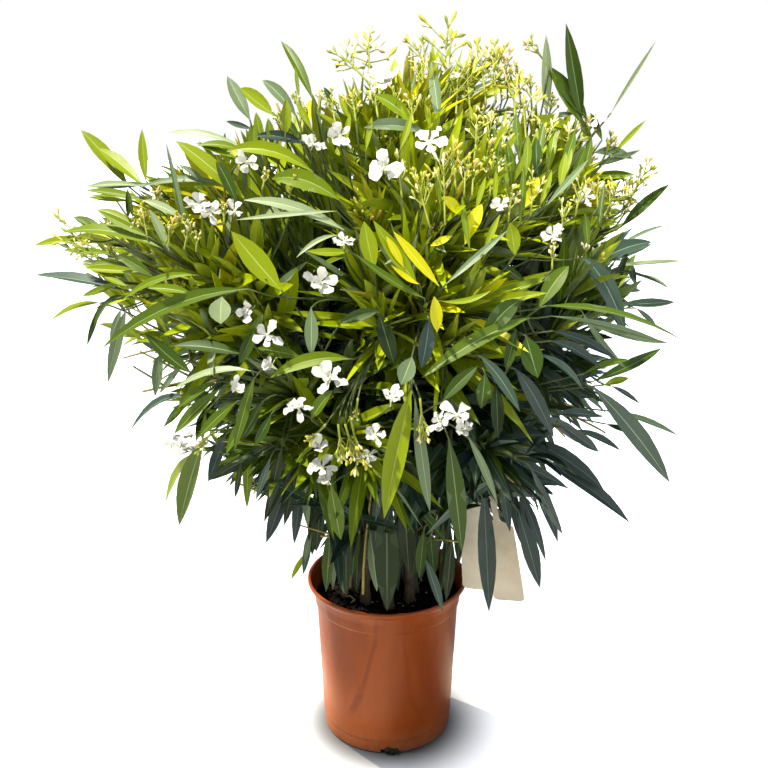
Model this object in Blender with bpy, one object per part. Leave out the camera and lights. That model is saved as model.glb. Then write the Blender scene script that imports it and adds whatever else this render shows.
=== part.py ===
"""A white oleander in a plastic nursery pot.

Eight slender stems rise from the compost. Each runs up to a leafy shoot of its own and carries
two side boughs with a leafy shoot at the tip, and six low shoots sit straight on the stems.
A blank paper label is looped over one bough. Metres, +Z up, with the origin at the centre of the
pot's flat underside, and the side the plant is shown from facing -Y.
"""

import math
import random

import bmesh
import bpy
from mathutils import Matrix, Quaternion, Vector
from mathutils.bvhtree import BVHTree

# ---- driving dimensions ------------------------------------------------------------------------

GAP = 0.0003  # between neighbouring solids

POT_HEIGHT = 0.250
RIM_RADIUS = 0.120
COLLAR_RADIUS = 0.1085  # the band between the upper ring and the flared rim
WALL_TOP_RADIUS = 0.1062  # just under the upper ring
WALL_FOOT_RADIUS = 0.0985  # just over the foot ring
FOOT_RADIUS = 0.0965
UPPER_RING_HEIGHT = 0.212
FOOT_RING_HEIGHT = 0.024
WALL_THICKNESS = 0.0022
FLOOR_THICKNESS = 0.003
POT_SIDES = 40
NOTCH_WIDTH = 0.020  # the four drain notches in the foot
NOTCH_HEIGHT = 0.0075
NOTCH_COUNT = 4

COMPOST_LEVEL = 0.222
COMPOST_SIDES = 28

STEM_COUNT = 8
STEM_RING_RADIUS = 0.044  # where the stems leave the compost
STEM_FLARE_RADIUS = 0.0100
STEM_FOOT_RADIUS = 0.0066
STEM_TIP_RADIUS = 0.0030
STEM_SIDES = 6
BOUGH_FOOT_RADIUS = 0.0037
BOUGH_TIP_RADIUS = 0.0024
BOUGH_SIDES = 5
FORK_HEIGHTS = (0.375, 0.435)  # how far up a stem its two boughs leave it

HEART = Vector((-0.02, 0.0, 0.62))  # the crown's middle
REACH_RIGHT = 0.41
REACH_LEFT = 0.445
REACH_DEPTH = 0.395
REACH_UP = 0.408
REACH_DOWN = 0.350
CROWN_LEAN = 0.13  # the crown sits higher on its left than on its right

# ring of shoots: name, how many, azimuth of the first, elevation on the crown, in degrees
LEADER_RINGS = (("top", 3, 40.0, 70.0), ("shoulder", 5, 0.0, 42.0))
BOUGH_RINGS = (("upper", 8, 11.0, 18.0), ("side", 8, 34.0, -14.0))
LOW_RING = ("low", 6, 10.0, -56.0)
LOW_SHOOT_HEIGHT = 0.335  # where the low shoots leave their stems

SITE_FRACTION = 0.62  # a shoot's middle, as a share of the crown's reach
ROOT_FRACTION = 0.36
SHOOT_FRACTION = 0.80

TWIG_RADIUS = 0.0026
TWIG_TIP_RADIUS = 0.0014
LEADER_WHORLS = (0.93, 0.68, 0.42, 0.16)  # where leaves grow, as shares of a twig from its foot
SIDE_WHORLS = (0.94, 0.50)
SIDE_TWIG_SHARES = (0.30, 0.56)  # where the two side twigs leave the leader
SIDE_TWIG_LENGTH = 0.46  # of the leader's
SIDE_TWIG_ANGLE = 42
SIDE_TWIG_RADII = (0.0020, 0.0017, TWIG_TIP_RADIUS)
WHORL_LEAVES = 3
LEAF_SPREAD = (68, 34)  # angle to the twig at its foot and at its tip, in degrees
LEAF_DROOP = (0.05, 0.20)
LEAF_LENGTH = 0.150
LEAF_WIDTH = 0.031
LEAF_THICKNESS = 0.0026
CELL_MARGIN = 0.0010  # each shoot stays this far inside its own space
LIMB_CLEARANCE = 0.0015
WELD = 0.0000003  # a fused mass stays sound when points nearer than this become one
LEAVES_A_SHOOT = 18
LEAF_FREE_SHARE = 0.14  # past this share of its length a leaf touches nothing of its own shoot
# a leaf that doesn't fit is tried again: share of its length, turn round the twig, lift, degrees
LEAF_TRIES = (
    (1.00, 0, 0),
    (0.90, 22, 0),
    (0.90, -22, 0),
    (0.80, 0, -14),
    (0.80, 0, 16),
    (0.72, 40, 0),
    (0.72, -40, 0),
    (0.62, 0, -22),
)

STALK_SHARE = 0.97  # of the leader, where the blossom's stalk leaves it
STALK_REACH = 0.055
STALK_RISE = 0.030
STALK_ENDS = 4  # flowers and buds on a stalk
STALK_SPREAD = 42
FLOWER_REACH = 0.026
FLOWER_RADIUS = 0.023
FLOWER_THICKNESS = 0.006
FLOWER_CHOICES = (0, 1, 1, 2)  # how many of a stalk's ends are open flowers
ROOT_DEPTH = 0.001  # how far a bud's or neck's foot is sunk past the stalk's axis
BARE_SHARE = 0.25  # of the shoots carry no blossom
BUD_LENGTH = 0.044  # with its own thin stalk
BUD_WIDTH = 0.0052
STALK_RADIUS = 0.0013

LABEL_WIDTH = 0.046
LABEL_PANEL = 0.135  # height of the two wide panels, which hang on a narrow strap
STRAP_WIDTH = 0.009
LABEL_THICKNESS = 0.0010
LOOP_STEPS = 6
LABEL_SLACK = 0.0012  # of the strap's loop round its bough
LABEL_FRONT_DROP = 0.322
LABEL_BACK_DROP = 0.352
LABEL_FRONT_SWING = 0.13  # how far the legs swing out along the bough, as a slope at the loop
LABEL_BACK_SWING = 0.28
LABEL_BOUGH = "bough_8_side"  # the bough that the label is looped over
LABEL_REACH = 0.108  # how far out from the pot's axis the loop sits

SEED = 41

# ---- colours: base colour, roughness -----------------------------------------------------------

FINISHES = {
    "pot": ((0.56, 0.19, 0.07), 0.32),
    "compost": ((0.020, 0.014, 0.010), 0.95),
    "label": ((0.74, 0.67, 0.52), 0.70),
    "stem": ((0.16, 0.15, 0.08), 0.75),
    "bough": ((0.20, 0.24, 0.09), 0.65),
    "foliage": ((0.09, 0.20, 0.05), 0.45),
}


def finish(piece, kind):
    """Give a piece a Principled material of its own in one of the plant's colours."""
    material = bpy.data.materials.new(piece.name + "_finish")
    material.use_nodes = True
    shader = material.node_tree.nodes["Principled BSDF"]
    colour, roughness = FINISHES[kind]
    shader.inputs["Base Color"].default_value = (*colour, 1.0)
    shader.inputs["Roughness"].default_value = roughness
    shader.inputs["Metallic"].default_value = 0.0
    piece.data.materials.clear()
    piece.data.materials.append(material)


def add_piece(name, vertices, faces, kind=None):
    """Put a closed mesh in the scene as an object of this name."""
    mesh = bpy.data.meshes.new(name)
    mesh.from_pydata([tuple(v) for v in vertices], [], faces)
    mesh.validate()
    piece = bpy.data.objects.new(name, mesh)
    bpy.context.scene.collection.objects.link(piece)
    if kind:
        finish(piece, kind)
    return piece


def shade_round(piece, angle=math.radians(40)):
    """Shade a round piece smooth, keeping its real edges sharp."""
    piece.data.shade_smooth()
    piece.data.set_sharp_from_angle(angle=angle)


# ---- pot, compost ------------------------------------------------------------------------------


def turned(profile, sides):
    """Turn a (radius, height) profile that starts and ends on the axis into vertices and faces."""
    vertices = [Vector((0.0, 0.0, profile[0][1]))]
    for radius, height in profile[1:-1]:
        for i in range(sides):
            a = 2 * math.pi * i / sides
            vertices.append(Vector((radius * math.cos(a), radius * math.sin(a), height)))
    vertices.append(Vector((0.0, 0.0, profile[-1][1])))
    rings = len(profile) - 2
    top = len(vertices) - 1
    faces = []
    for i in range(sides):
        j = (i + 1) % sides
        faces.append((0, 1 + j, 1 + i))
        for k in range(rings - 1):
            a = 1 + k * sides
            b = a + sides
            faces.append((a + i, a + j, b + j, b + i))
        last = 1 + (rings - 1) * sides
        faces.append((last + i, last + j, top))
    return vertices, faces


def wall_radius(height):
    """Outer radius of the pot's straight tapering wall."""
    share = (height - FOOT_RING_HEIGHT) / (UPPER_RING_HEIGHT - FOOT_RING_HEIGHT)
    return WALL_FOOT_RADIUS + share * (WALL_TOP_RADIUS - WALL_FOOT_RADIUS)


def make_pot():
    """Turned pot: foot, ring, tapering wall, collar, flared and rolled rim, open at the top."""
    outside = [
        (FOOT_RADIUS - 0.003, 0.0),
        (FOOT_RADIUS, 0.002),
        (FOOT_RADIUS + 0.0005, FOOT_RING_HEIGHT - 0.004),
        (WALL_FOOT_RADIUS, FOOT_RING_HEIGHT),
        (wall_radius(0.118), 0.118),
        (WALL_TOP_RADIUS, UPPER_RING_HEIGHT - 0.003),
        (COLLAR_RADIUS, UPPER_RING_HEIGHT),
        (COLLAR_RADIUS + 0.0015, UPPER_RING_HEIGHT + 0.014),
        (COLLAR_RADIUS + 0.0050, POT_HEIGHT - 0.012),
        (RIM_RADIUS - 0.0010, POT_HEIGHT - 0.006),
        (RIM_RADIUS, POT_HEIGHT - 0.003),
        (RIM_RADIUS - 0.0015, POT_HEIGHT),
    ]
    inside = [
        (RIM_RADIUS - 0.0050, POT_HEIGHT - 0.001),
        (COLLAR_RADIUS + 0.0025, POT_HEIGHT - 0.012),
        (COLLAR_RADIUS - WALL_THICKNESS, UPPER_RING_HEIGHT + 0.004),
        (WALL_TOP_RADIUS - WALL_THICKNESS, UPPER_RING_HEIGHT - 0.006),
        (WALL_FOOT_RADIUS - WALL_THICKNESS, FOOT_RING_HEIGHT),
        (FOOT_RADIUS - WALL_THICKNESS - 0.0025, FLOOR_THICKNESS),
    ]
    profile = [(0.0, 0.0)] + outside + inside + [(0.0, FLOOR_THICKNESS)]
    pot = add_piece("pot", *turned(profile, POT_SIDES), "pot")
    shade_round(pot)
    for i in range(NOTCH_COUNT):
        turn = Matrix.Rotation(math.radians(90 * i - 90), 4, "Z")
        place = Matrix.Translation((FOOT_RADIUS, 0.0, 0.0))
        size = Matrix.Diagonal((0.026, NOTCH_WIDTH, 2 * NOTCH_HEIGHT, 1.0))
        form = bmesh.new()
        bmesh.ops.create_cube(form, size=1.0, matrix=turn @ place @ size)
        mesh = bpy.data.meshes.new(f"notch_cutter_{i + 1}")
        form.to_mesh(mesh)
        form.free()
        cutter = bpy.data.objects.new(mesh.name, mesh)
        bpy.context.scene.collection.objects.link(cutter)
        cutter.hide_render = True
        cutter.display_type = "WIRE"
        cut = pot.modifiers.new(cutter.name, "BOOLEAN")
        cut.operation = "DIFFERENCE"
        cut.solver = "EXACT"
        cut.object = cutter
    return pot


def make_compost():
    """Compost that fills the pot to a few centimetres under the rim."""
    slack = WALL_THICKNESS + 0.0012
    profile = [
        (0.0, FLOOR_THICKNESS + GAP),
        (FOOT_RADIUS - slack - 0.012, FLOOR_THICKNESS + GAP),
        (FOOT_RADIUS - slack - 0.006, FOOT_RING_HEIGHT * 0.5),
        (WALL_FOOT_RADIUS - slack, FOOT_RING_HEIGHT + 0.003),
        (WALL_TOP_RADIUS - slack, UPPER_RING_HEIGHT - 0.010),
        (WALL_TOP_RADIUS - slack, COMPOST_LEVEL - 0.004),
        (WALL_TOP_RADIUS - slack - 0.006, COMPOST_LEVEL),
        (0.0, COMPOST_LEVEL),
    ]
    compost = add_piece("compost", *turned(profile, COMPOST_SIDES), "compost")
    shade_round(compost)
    return compost


# ---- limbs -------------------------------------------------------------------------------------


def curve_points(a, b, c, d, count):
    """Points along a cubic curve that leaves a towards b and reaches d from c."""
    points = []
    for i in range(count):
        t = i / (count - 1)
        s = 1 - t
        points.append(s**3 * a + 3 * s * s * t * b + 3 * s * t * t * c + t**3 * d)
    return points


def tube(points, radii, sides, start=None, end=None):
    """Vertices and faces of a closed tapering tube along a path, its ends cut square.

    start and end are the directions that the end faces look along, where they aren't the path's.
    """
    ways = []
    for i in range(len(points)):
        ways.append((points[min(i + 1, len(points) - 1)] - points[max(i - 1, 0)]).normalized())
    if start is not None:
        ways[0] = start.normalized()
    if end is not None:
        ways[-1] = end.normalized()
    side = ways[0].orthogonal().normalized()
    vertices = []
    for point, way, radius in zip(points, ways, radii):
        side = (side - way * side.dot(way)).normalized()
        across = way.cross(side)
        for i in range(sides):
            a = 2 * math.pi * i / sides
            vertices.append(point + radius * (math.cos(a) * side + math.sin(a) * across))
    faces = [tuple(reversed(range(sides)))]
    for k in range(len(points) - 1):
        for i in range(sides):
            j = (i + 1) % sides
            faces.append((k * sides + i, k * sides + j, (k + 1) * sides + j, (k + 1) * sides + i))
    faces.append(tuple((len(points) - 1) * sides + i for i in range(sides)))
    return vertices, faces


def heading(azimuth, elevation=0.0):
    """Unit vector at an azimuth from +X and an elevation, both in degrees."""
    a = math.radians(azimuth)
    e = math.radians(elevation)
    return Vector((math.cos(e) * math.cos(a), math.cos(e) * math.sin(a), math.sin(e)))


def crown_point(azimuth, elevation, share):
    """A point at this share of the way from the crown's heart to its outline."""
    way = heading(azimuth, elevation)
    x = way.x * (REACH_RIGHT if way.x > 0 else REACH_LEFT)
    y = way.y * REACH_DEPTH
    z = way.z * (REACH_UP if way.z > 0 else REACH_DOWN)
    point = share * Vector((x, y, z))
    point.z -= CROWN_LEAN * point.x
    return HEART + point


class Limb:
    """A tapering stem or bough: its path and its radius along it."""

    def __init__(self, name, points, radii, sides, start=None, end=None):
        self.name = name
        self.points = points
        self.radii = radii
        self.sides = sides
        self.start = start
        self.end = end

    def at_height(self, height):
        """Point, direction and radius where the limb first reaches this height."""
        for i in range(len(self.points) - 1):
            a = self.points[i]
            b = self.points[i + 1]
            if a.z <= height <= b.z:
                t = (height - a.z) / (b.z - a.z)
                radius = self.radii[i] + t * (self.radii[i + 1] - self.radii[i])
                return a.lerp(b, t), (b - a).normalized(), radius
        raise ValueError(f"{self.name} never reaches {height}")

    def tip(self):
        """The tip and the direction that the limb ends in."""
        way = self.end or self.points[-1] - self.points[-2]
        return self.points[-1], way.normalized()

    def solid(self, extra=0.0):
        """The limb's vertices and faces, fattened by extra."""
        radii = [r + extra for r in self.radii]
        return tube(self.points, radii, self.sides, self.start, self.end)


def grow_stem(index, azimuth, target, way, rng):
    """A stem from its flat flared foot on the compost up to the root of its own shoot."""
    radius = STEM_RING_RADIUS * rng.uniform(0.80, 1.20)
    foot = radius * heading(azimuth + rng.uniform(-6, 6))
    foot.z = COMPOST_LEVEL + GAP
    rise = Vector((0.0, 0.0, 0.16))
    points = curve_points(foot, foot + rise, target - 0.16 * way, target, 8)
    points.insert(1, foot + Vector((0.0, 0.0, 0.012)))
    radii = []
    for i in range(len(points)):
        t = i / (len(points) - 1)
        radii.append(STEM_FOOT_RADIUS + t * (STEM_TIP_RADIUS - STEM_FOOT_RADIUS))
    radii[0] = STEM_FLARE_RADIUS
    radii[1] = 0.5 * (STEM_FLARE_RADIUS + STEM_FOOT_RADIUS)
    return Limb(f"stem_{index}", points, radii, STEM_SIDES, Vector((0, 0, 1)), way)


def leave_limb(limb, height, target):
    """Where a side growth starts on a limb, clear of its bark, and the way that it sets off."""
    point, way, radius = limb.at_height(height)
    out = target - point
    out = (out - way * out.dot(way)).normalized()
    return point + out * (radius + GAP), out, way


def grow_bough(name, stem, height, target, way):
    """A side bough from a stem's bark, bending up and out to the root of its shoot."""
    start, out, along = leave_limb(stem, height, target)
    first = start + 0.030 * out + 0.022 * along
    points = curve_points(start, first, target - 0.07 * way, target, 8)
    radii = []
    for i in range(len(points)):
        t = i / (len(points) - 1)
        radii.append(BOUGH_FOOT_RADIUS + t * (BOUGH_TIP_RADIUS - BOUGH_FOOT_RADIUS))
    return Limb(name, points, radii, BOUGH_SIDES, out, way)


# ---- label -------------------------------------------------------------------------------------


def label_leg(seat, along, aside, drop, swing):
    """Stations of one hanging leg from its loop down: narrow strap, then panel with cut corners."""
    top = drop - LABEL_PANEL
    corner = 0.006
    widths = (
        (0.5 * top, STRAP_WIDTH),
        (top, STRAP_WIDTH),
        (top + 0.010, LABEL_WIDTH),
        (drop - corner, LABEL_WIDTH),
        (drop, LABEL_WIDTH - 2 * corner),
    )
    stations = []
    for down, width in widths:
        out = swing * down * (1 - 0.5 * down / drop)
        middle = seat + out * along + 0.03 * down * aside - Vector((0.0, 0.0, down))
        stations.append((middle, aside, along, width))
    return stations


def label_stations(bough):
    """The label's strip from end to end: middle, thickness and width directions, and width."""
    for a, b, radius in zip(bough.points, bough.points[1:], bough.radii):
        if a.xy.length <= LABEL_REACH <= b.xy.length:
            break
    seat = a.lerp(b, (LABEL_REACH - a.xy.length) / (b.xy.length - a.xy.length))
    way = (b - a).normalized()
    along = Vector((way.x, way.y, 0.0)).normalized()
    front = along.cross(Vector((0, 0, 1)))
    up = front.cross(way).normalized()
    if up.z < 0:
        up.negate()
    loop = radius + LABEL_SLACK + 0.5 * LABEL_THICKNESS
    seat -= (LABEL_SLACK - GAP) * up
    stations = label_leg(seat + loop * front, along, front, LABEL_FRONT_DROP, LABEL_FRONT_SWING)
    stations.reverse()
    for i in range(LOOP_STEPS + 1):
        a = math.pi * i / LOOP_STEPS
        out = math.cos(a) * front + math.sin(a) * up
        stations.append((seat + loop * out, out, way, STRAP_WIDTH))
    back = label_leg(seat - loop * front, along, -front, LABEL_BACK_DROP, LABEL_BACK_SWING)
    return stations + back


def label_solid(bough, extra=0.0):
    """The folded strip of the label, fattened by extra."""
    thick = 0.5 * LABEL_THICKNESS + extra
    vertices = []
    for middle, out, across, width in label_stations(bough):
        half = 0.5 * width + extra
        for a, b in ((-half, -thick), (half, -thick), (half, thick), (-half, thick)):
            vertices.append(middle + a * across + b * out)
    count = len(vertices) // 4
    faces = [(0, 1, 2, 3)]
    for k in range(count - 1):
        for i in range(4):
            j = (i + 1) % 4
            faces.append((4 * k + j, 4 * k + i, 4 * k + 4 + i, 4 * k + 4 + j))
    last = 4 * (count - 1)
    faces.append((last + 3, last + 2, last + 1, last))
    return vertices, faces


# ---- leaves, flowers and buds ------------------------------------------------------------------


def leaf_solid(root, way, up, length, width, droop):
    """An arched lance-shaped blade of six faces: a point at each end, a flat back and a midrib."""
    side = way.cross(up)
    side = side.normalized() if side.length > 1e-6 else way.orthogonal().normalized()
    face = side.cross(way).normalized()
    middle = root + 0.44 * length * way
    tip = root + length * (way + Vector((0.0, 0.0, -droop))).normalized()
    vertices = [
        root,
        middle - 0.5 * width * side,
        middle + LEAF_THICKNESS * face,
        middle + 0.5 * width * side,
        tip,
    ]
    return vertices, spindle_faces(3)


def spindle_faces(corners):
    """Faces of a spindle: a root vertex, a ring of corners and a tip vertex."""
    faces = []
    for i in range(corners):
        j = (i + 1) % corners
        faces.append((0, 1 + j, 1 + i))
        faces.append((corners + 1, 1 + i, 1 + j))
    return faces


def bud_solid(root, way, length, width):
    """A slender bud: a spindle."""
    side = way.orthogonal().normalized()
    across = way.cross(side)
    middle = root + 0.62 * length * way
    vertices = [root]
    for i in range(3):
        a = 2 * math.pi * i / 3
        vertices.append(middle + 0.5 * width * (math.cos(a) * side + math.sin(a) * across))
    vertices.append(root + length * way)
    return vertices, spindle_faces(3)


def flower_solid(middle, way):
    """An open flower: a five-pointed star, thick in the middle, that looks along way."""
    side = way.orthogonal().normalized()
    across = way.cross(side)
    vertices = [middle - FLOWER_THICKNESS * way]
    for i in range(10):
        a = math.pi * i / 5
        radius = FLOWER_RADIUS * (1.0 if i % 2 == 0 else 0.62)
        vertices.append(middle + radius * (math.cos(a) * side + math.sin(a) * across))
    vertices.append(middle + 0.4 * FLOWER_THICKNESS * way)
    return vertices, spindle_faces(10)


# ---- shoots ------------------------------------------------------------------------------------


class Space:
    """The part of the crown that one shoot keeps to: nearer to its middle than to any other's."""

    def __init__(self, site, others):
        self.planes = []
        for other in others:
            way = (other - site).normalized()
            limit = way.dot(0.5 * (other + site)) - CELL_MARGIN
            self.planes.append((way, limit))

    def holds(self, vertices):
        """Whether every vertex is inside, over the pot's rim too."""
        for vertex in vertices:
            if vertex.z < POT_HEIGHT + 0.012:
                return False
            for way, limit in self.planes:
                if way.dot(vertex) > limit:
                    return False
        return True


def tree_of(solids):
    """A search tree over the faces of several solids."""
    vertices = []
    faces = []
    for part_vertices, part_faces in solids:
        base = len(vertices)
        vertices.extend(part_vertices)
        faces.extend(tuple(base + i for i in face) for face in part_faces)
    return BVHTree.FromPolygons(vertices, faces)


class Twig:
    """A stem, side twig or stalk inside a shoot: its path and where it is in the shoot's list."""

    def __init__(self, points, place):
        self.points = points
        self.place = place

    def at(self, share):
        """The point at a share of the twig, and its direction there."""
        place = share * (len(self.points) - 1)
        i = min(int(place), len(self.points) - 2)
        a = self.points[i]
        b = self.points[i + 1]
        return a.lerp(b, place - i), (b - a).normalized()


class Shoot:
    """One mass of leaves: a stem that branches by rule, with whorls of three leaves and blossom."""

    def __init__(self, start, way, end, space, obstacles, rng):
        self.space = space
        self.obstacles = obstacles
        self.rng = rng
        self.solids = []
        self.trees = []
        self.free_trees = []
        self.leaves = 0
        self.grow(start, way, end)

    def add(self, solid, free):
        """Add a solid, with the stretch of it that other pieces have to miss."""
        self.solids.append(solid)
        self.trees.append(BVHTree.FromPolygons(*solid))
        self.free_trees.append(BVHTree.FromPolygons(*free))
        return len(self.solids) - 1

    def fits(self, solid):
        """Whether a solid stays in the shoot's space and clear of limbs, label and pot."""
        return self.space.holds(solid[0]) and not BVHTree.FromPolygons(*solid).overlap(self.obstacles)

    def keep(self, solid, free, host):
        """Keep a solid that fits and crosses nothing but the foot of what it grows from."""
        if not self.fits(solid):
            return False
        whole = BVHTree.FromPolygons(*solid)
        loose = BVHTree.FromPolygons(*free)
        for i, (tree, free_tree) in enumerate(zip(self.trees, self.free_trees)):
            if loose.overlap(tree) or (i != host and whole.overlap(free_tree)):
                return False
        return self.add(solid, free) > 0

    def grow(self, start, way, end):
        """Grow the leader, its two side twigs and all that they carry."""
        span = (end - start).length
        points = curve_points(start, start + 0.33 * span * way, start.lerp(end, 0.7), end, 4)
        radii = [TWIG_RADIUS + i / 3 * (TWIG_TIP_RADIUS - TWIG_RADIUS) for i in range(4)]
        solid = tube(points, radii, 3, way)
        leader = Twig(points, self.add(solid, solid))
        turn = self.rng.uniform(0, 120)
        twigs = []
        for step, share in enumerate(SIDE_TWIG_SHARES):
            twigs.append(self.side_twig(leader, share, turn + 30 + 170 * step, span))
        twigs = [twig for twig in twigs if twig]
        self.blossom(leader)
        for step, share in enumerate(LEADER_WHORLS[:3]):
            self.whorl(leader, share, turn + 60 * step)
        for twig in twigs:
            self.whorl(twig, SIDE_WHORLS[0], turn + 60)
        self.whorl(leader, LEADER_WHORLS[3], turn)
        for twig in twigs:
            self.whorl(twig, SIDE_WHORLS[1], turn)

    def side_twig(self, leader, share, turn, span):
        """A side twig at a share of a leader that is span long, turned to where it fits."""
        root, way = leader.at(share)
        for fit in (0, 35, -35, 70, -70, 180):
            out = tilt(way, turn + fit, SIDE_TWIG_ANGLE)
            tip = root + SIDE_TWIG_LENGTH * span * out
            middle = root.lerp(tip, 0.5) + Vector((0.0, 0.0, 0.02 * span))
            solid = tube([root, middle, tip], SIDE_TWIG_RADII, 3)
            free = tube([root.lerp(middle, 0.3), middle, tip], SIDE_TWIG_RADII, 3)
            if self.keep(solid, free, leader.place):
                return Twig([root, middle, tip], len(self.solids) - 1)
        return None

    def whorl(self, twig, share, turn):
        """Three leaves round one point of a twig, steeper towards its tip."""
        for i in range(WHORL_LEAVES):
            self.leaf(twig, share, turn + 360 / WHORL_LEAVES * i)

    def leaf(self, twig, share, turn):
        """One leaf, turned and shortened a little where the shoot's space asks for it."""
        if self.leaves >= LEAVES_A_SHOOT:
            return
        root, way = twig.at(share)
        spread = LEAF_SPREAD[0] + share * (LEAF_SPREAD[1] - LEAF_SPREAD[0]) + self.rng.uniform(-7, 7)
        length = LEAF_LENGTH * self.rng.uniform(0.88, 1.12)
        droop = self.rng.uniform(*LEAF_DROOP)
        for size, shift, lift in LEAF_TRIES:
            out = tilt(way, turn + shift, spread + lift)
            width = LEAF_WIDTH * (0.55 + 0.45 * size)
            blade = leaf_solid(root - 0.0006 * out, out, way, size * length, width, droop)
            free = ([blade[0][0].lerp(blade[0][4], LEAF_FREE_SHARE)] + blade[0][1:], blade[1])
            if self.keep(blade, free, twig.place):
                self.leaves += 1
                return

    def blossom(self, leader):
        """A stalk over the leader's tip, with open flowers and slender buds."""
        root, way = leader.at(STALK_SHARE)
        if self.rng.random() < BARE_SHARE:
            return
        top = root + STALK_REACH * way + Vector((0.0, 0.0, STALK_RISE))
        radii = (STALK_RADIUS, STALK_RADIUS)
        free = tube([root.lerp(top, 0.3), top], radii, 3)
        if not self.keep(tube([root, top], radii, 3), free, leader.place):
            return
        stalk = len(self.solids) - 1
        turn = self.rng.uniform(0, 360)
        flowers = self.rng.choice(FLOWER_CHOICES)
        for i in range(STALK_ENDS):
            out = tilt(way, turn + 360 / STALK_ENDS * i, STALK_SPREAD)
            foot = top - ROOT_DEPTH * out
            if i < flowers:
                self.flower(foot, out, stalk)
            else:
                bud = bud_solid(foot, out, BUD_LENGTH, BUD_WIDTH)
                self.keep(bud, ([foot.lerp(bud[0][-1], 0.3)] + bud[0][1:], bud[1]), stalk)

    def flower(self, foot, out, stalk):
        """An open flower on a neck from the stalk's end, where both fit."""
        middle = foot + FLOWER_REACH * out
        flower = flower_solid(middle, out)
        neck = tube([foot, middle], (STALK_RADIUS, STALK_RADIUS), 3)
        free = tube([foot.lerp(middle, 0.4), middle], (STALK_RADIUS, STALK_RADIUS), 3)
        if self.fits(flower) and self.keep(neck, free, stalk):
            self.keep(flower, flower, len(self.solids) - 1)


def tilt(way, turn, angle):
    """A direction at an angle from way, turned round it from its upper side, in degrees."""
    upper = Vector((0, 0, 1)) - way * way.z
    if upper.length < 0.05:
        upper = Vector((1, 0, 0)) - way * way.x
    axis = way.cross(upper).normalized()
    leaned = Quaternion(axis, math.radians(angle)) @ way
    return (Quaternion(way, math.radians(turn)) @ leaned).normalized()


def fuse(name, solids, kind):
    """Join overlapping solids into one closed body, with fewer leaves where that fails."""
    host = add_piece(name, *solids[0])
    first = host.data
    while not any(join(host, first, solids[1:], solver) for solver in ("EXACT", "MANIFOLD")):
        solids = solids[:-1]
    finish(host, kind)
    return host


def join(host, first, solids, solver):
    """Union a mesh and a collection of solids into host, and say whether the result is closed."""
    group = bpy.data.collections.new(host.name + "_parts")
    bpy.context.scene.collection.children.link(group)
    for i, (vertices, faces) in enumerate(solids):
        mesh = bpy.data.meshes.new(f"{host.name}_part_{i}")
        mesh.from_pydata([tuple(v) for v in vertices], [], faces)
        group.objects.link(bpy.data.objects.new(mesh.name, mesh))
    host.data = first
    union = host.modifiers.new("union", "BOOLEAN")
    union.operation = "UNION"
    union.operand_type = "COLLECTION"
    union.collection = group
    union.solver = solver
    depsgraph = bpy.context.evaluated_depsgraph_get()
    host.data = bpy.data.meshes.new_from_object(host.evaluated_get(depsgraph))
    host.modifiers.clear()
    for part in list(group.objects):
        bpy.data.objects.remove(part)
    bpy.data.collections.remove(group)
    return keep_main_body(host.data)


def keep_main_body(mesh):
    """Drop sealed hollows and loose scraps, and say whether what stays is one sound body."""
    form = bmesh.new()
    form.from_mesh(mesh)
    bmesh.ops.triangulate(form, faces=form.faces)
    for shell in shells_of(form)[:-1]:
        vertices = {v for face in shell for v in face.verts}
        bmesh.ops.delete(form, geom=list(vertices), context="VERTS")
    form.to_mesh(mesh)
    sound = form.calc_volume(signed=True) > 0 and is_closed(form)
    bmesh.ops.remove_doubles(form, verts=form.verts, dist=WELD)
    bmesh.ops.dissolve_degenerate(form, edges=form.edges, dist=WELD)
    sound = sound and is_closed(form)
    form.free()
    return sound


def is_closed(form):
    """Whether every edge has two faces."""
    return all(len(edge.link_faces) == 2 for edge in form.edges)


def shells_of(form):
    """The faces of a mesh in connected groups, the largest group last."""
    seen = set()
    shells = []
    for face in form.faces:
        if face in seen:
            continue
        seen.add(face)
        shell = [face]
        for current in shell:
            for edge in current.edges:
                for other in edge.link_faces:
                    if other not in seen:
                        seen.add(other)
                        shell.append(other)
        shells.append(shell)
    return sorted(shells, key=len)


# ---- the plant ---------------------------------------------------------------------------------


def ring_places(ring):
    """Name, azimuth and elevation of each shoot of a ring."""
    name, count, first, elevation = ring
    for i in range(count):
        yield f"{name}_{i + 1}", first + 360.0 * i / count, elevation


def make_plant():
    """Grow stems and boughs first, then a shoot at each tip, and then put all in the scene."""
    rng = random.Random(SEED)
    leaders = sorted((p for r in LEADER_RINGS for p in ring_places(r)), key=lambda p: p[1] % 360)
    sides = {r[0]: list(ring_places(r)) for r in BOUGH_RINGS}
    limbs = []
    shoots = []
    for i, place in enumerate(leaders):
        name, azimuth, elevation = place
        elevation += rng.uniform(-3, 3)
        root = crown_point(azimuth, elevation, ROOT_FRACTION)
        end = crown_point(azimuth, elevation, SHOOT_FRACTION)
        stem = grow_stem(i + 1, 360.0 * i / STEM_COUNT, root, (end - root).normalized(), rng)
        limbs.append(stem)
        shoots.append((name, stem, azimuth, elevation))
        for (ring, places), height in zip(sides.items(), reversed(FORK_HEIGHTS)):
            name, azimuth, elevation = places[i]
            elevation += rng.uniform(-4, 4)
            root = crown_point(azimuth, elevation, ROOT_FRACTION)
            end = crown_point(azimuth, elevation, SHOOT_FRACTION)
            bough = grow_bough(f"bough_{i + 1}_{ring}", stem, height, root, (end - root).normalized())
            limbs.append(bough)
            shoots.append((name, bough, azimuth, elevation))
    stems = [limb for limb in limbs if limb.name.startswith("stem")]
    for name, azimuth, elevation in ring_places(LOW_RING):
        shoots.append((name, nearest_stem(stems, azimuth), azimuth, elevation))
    place_plant(limbs, shoots, rng)


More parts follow.
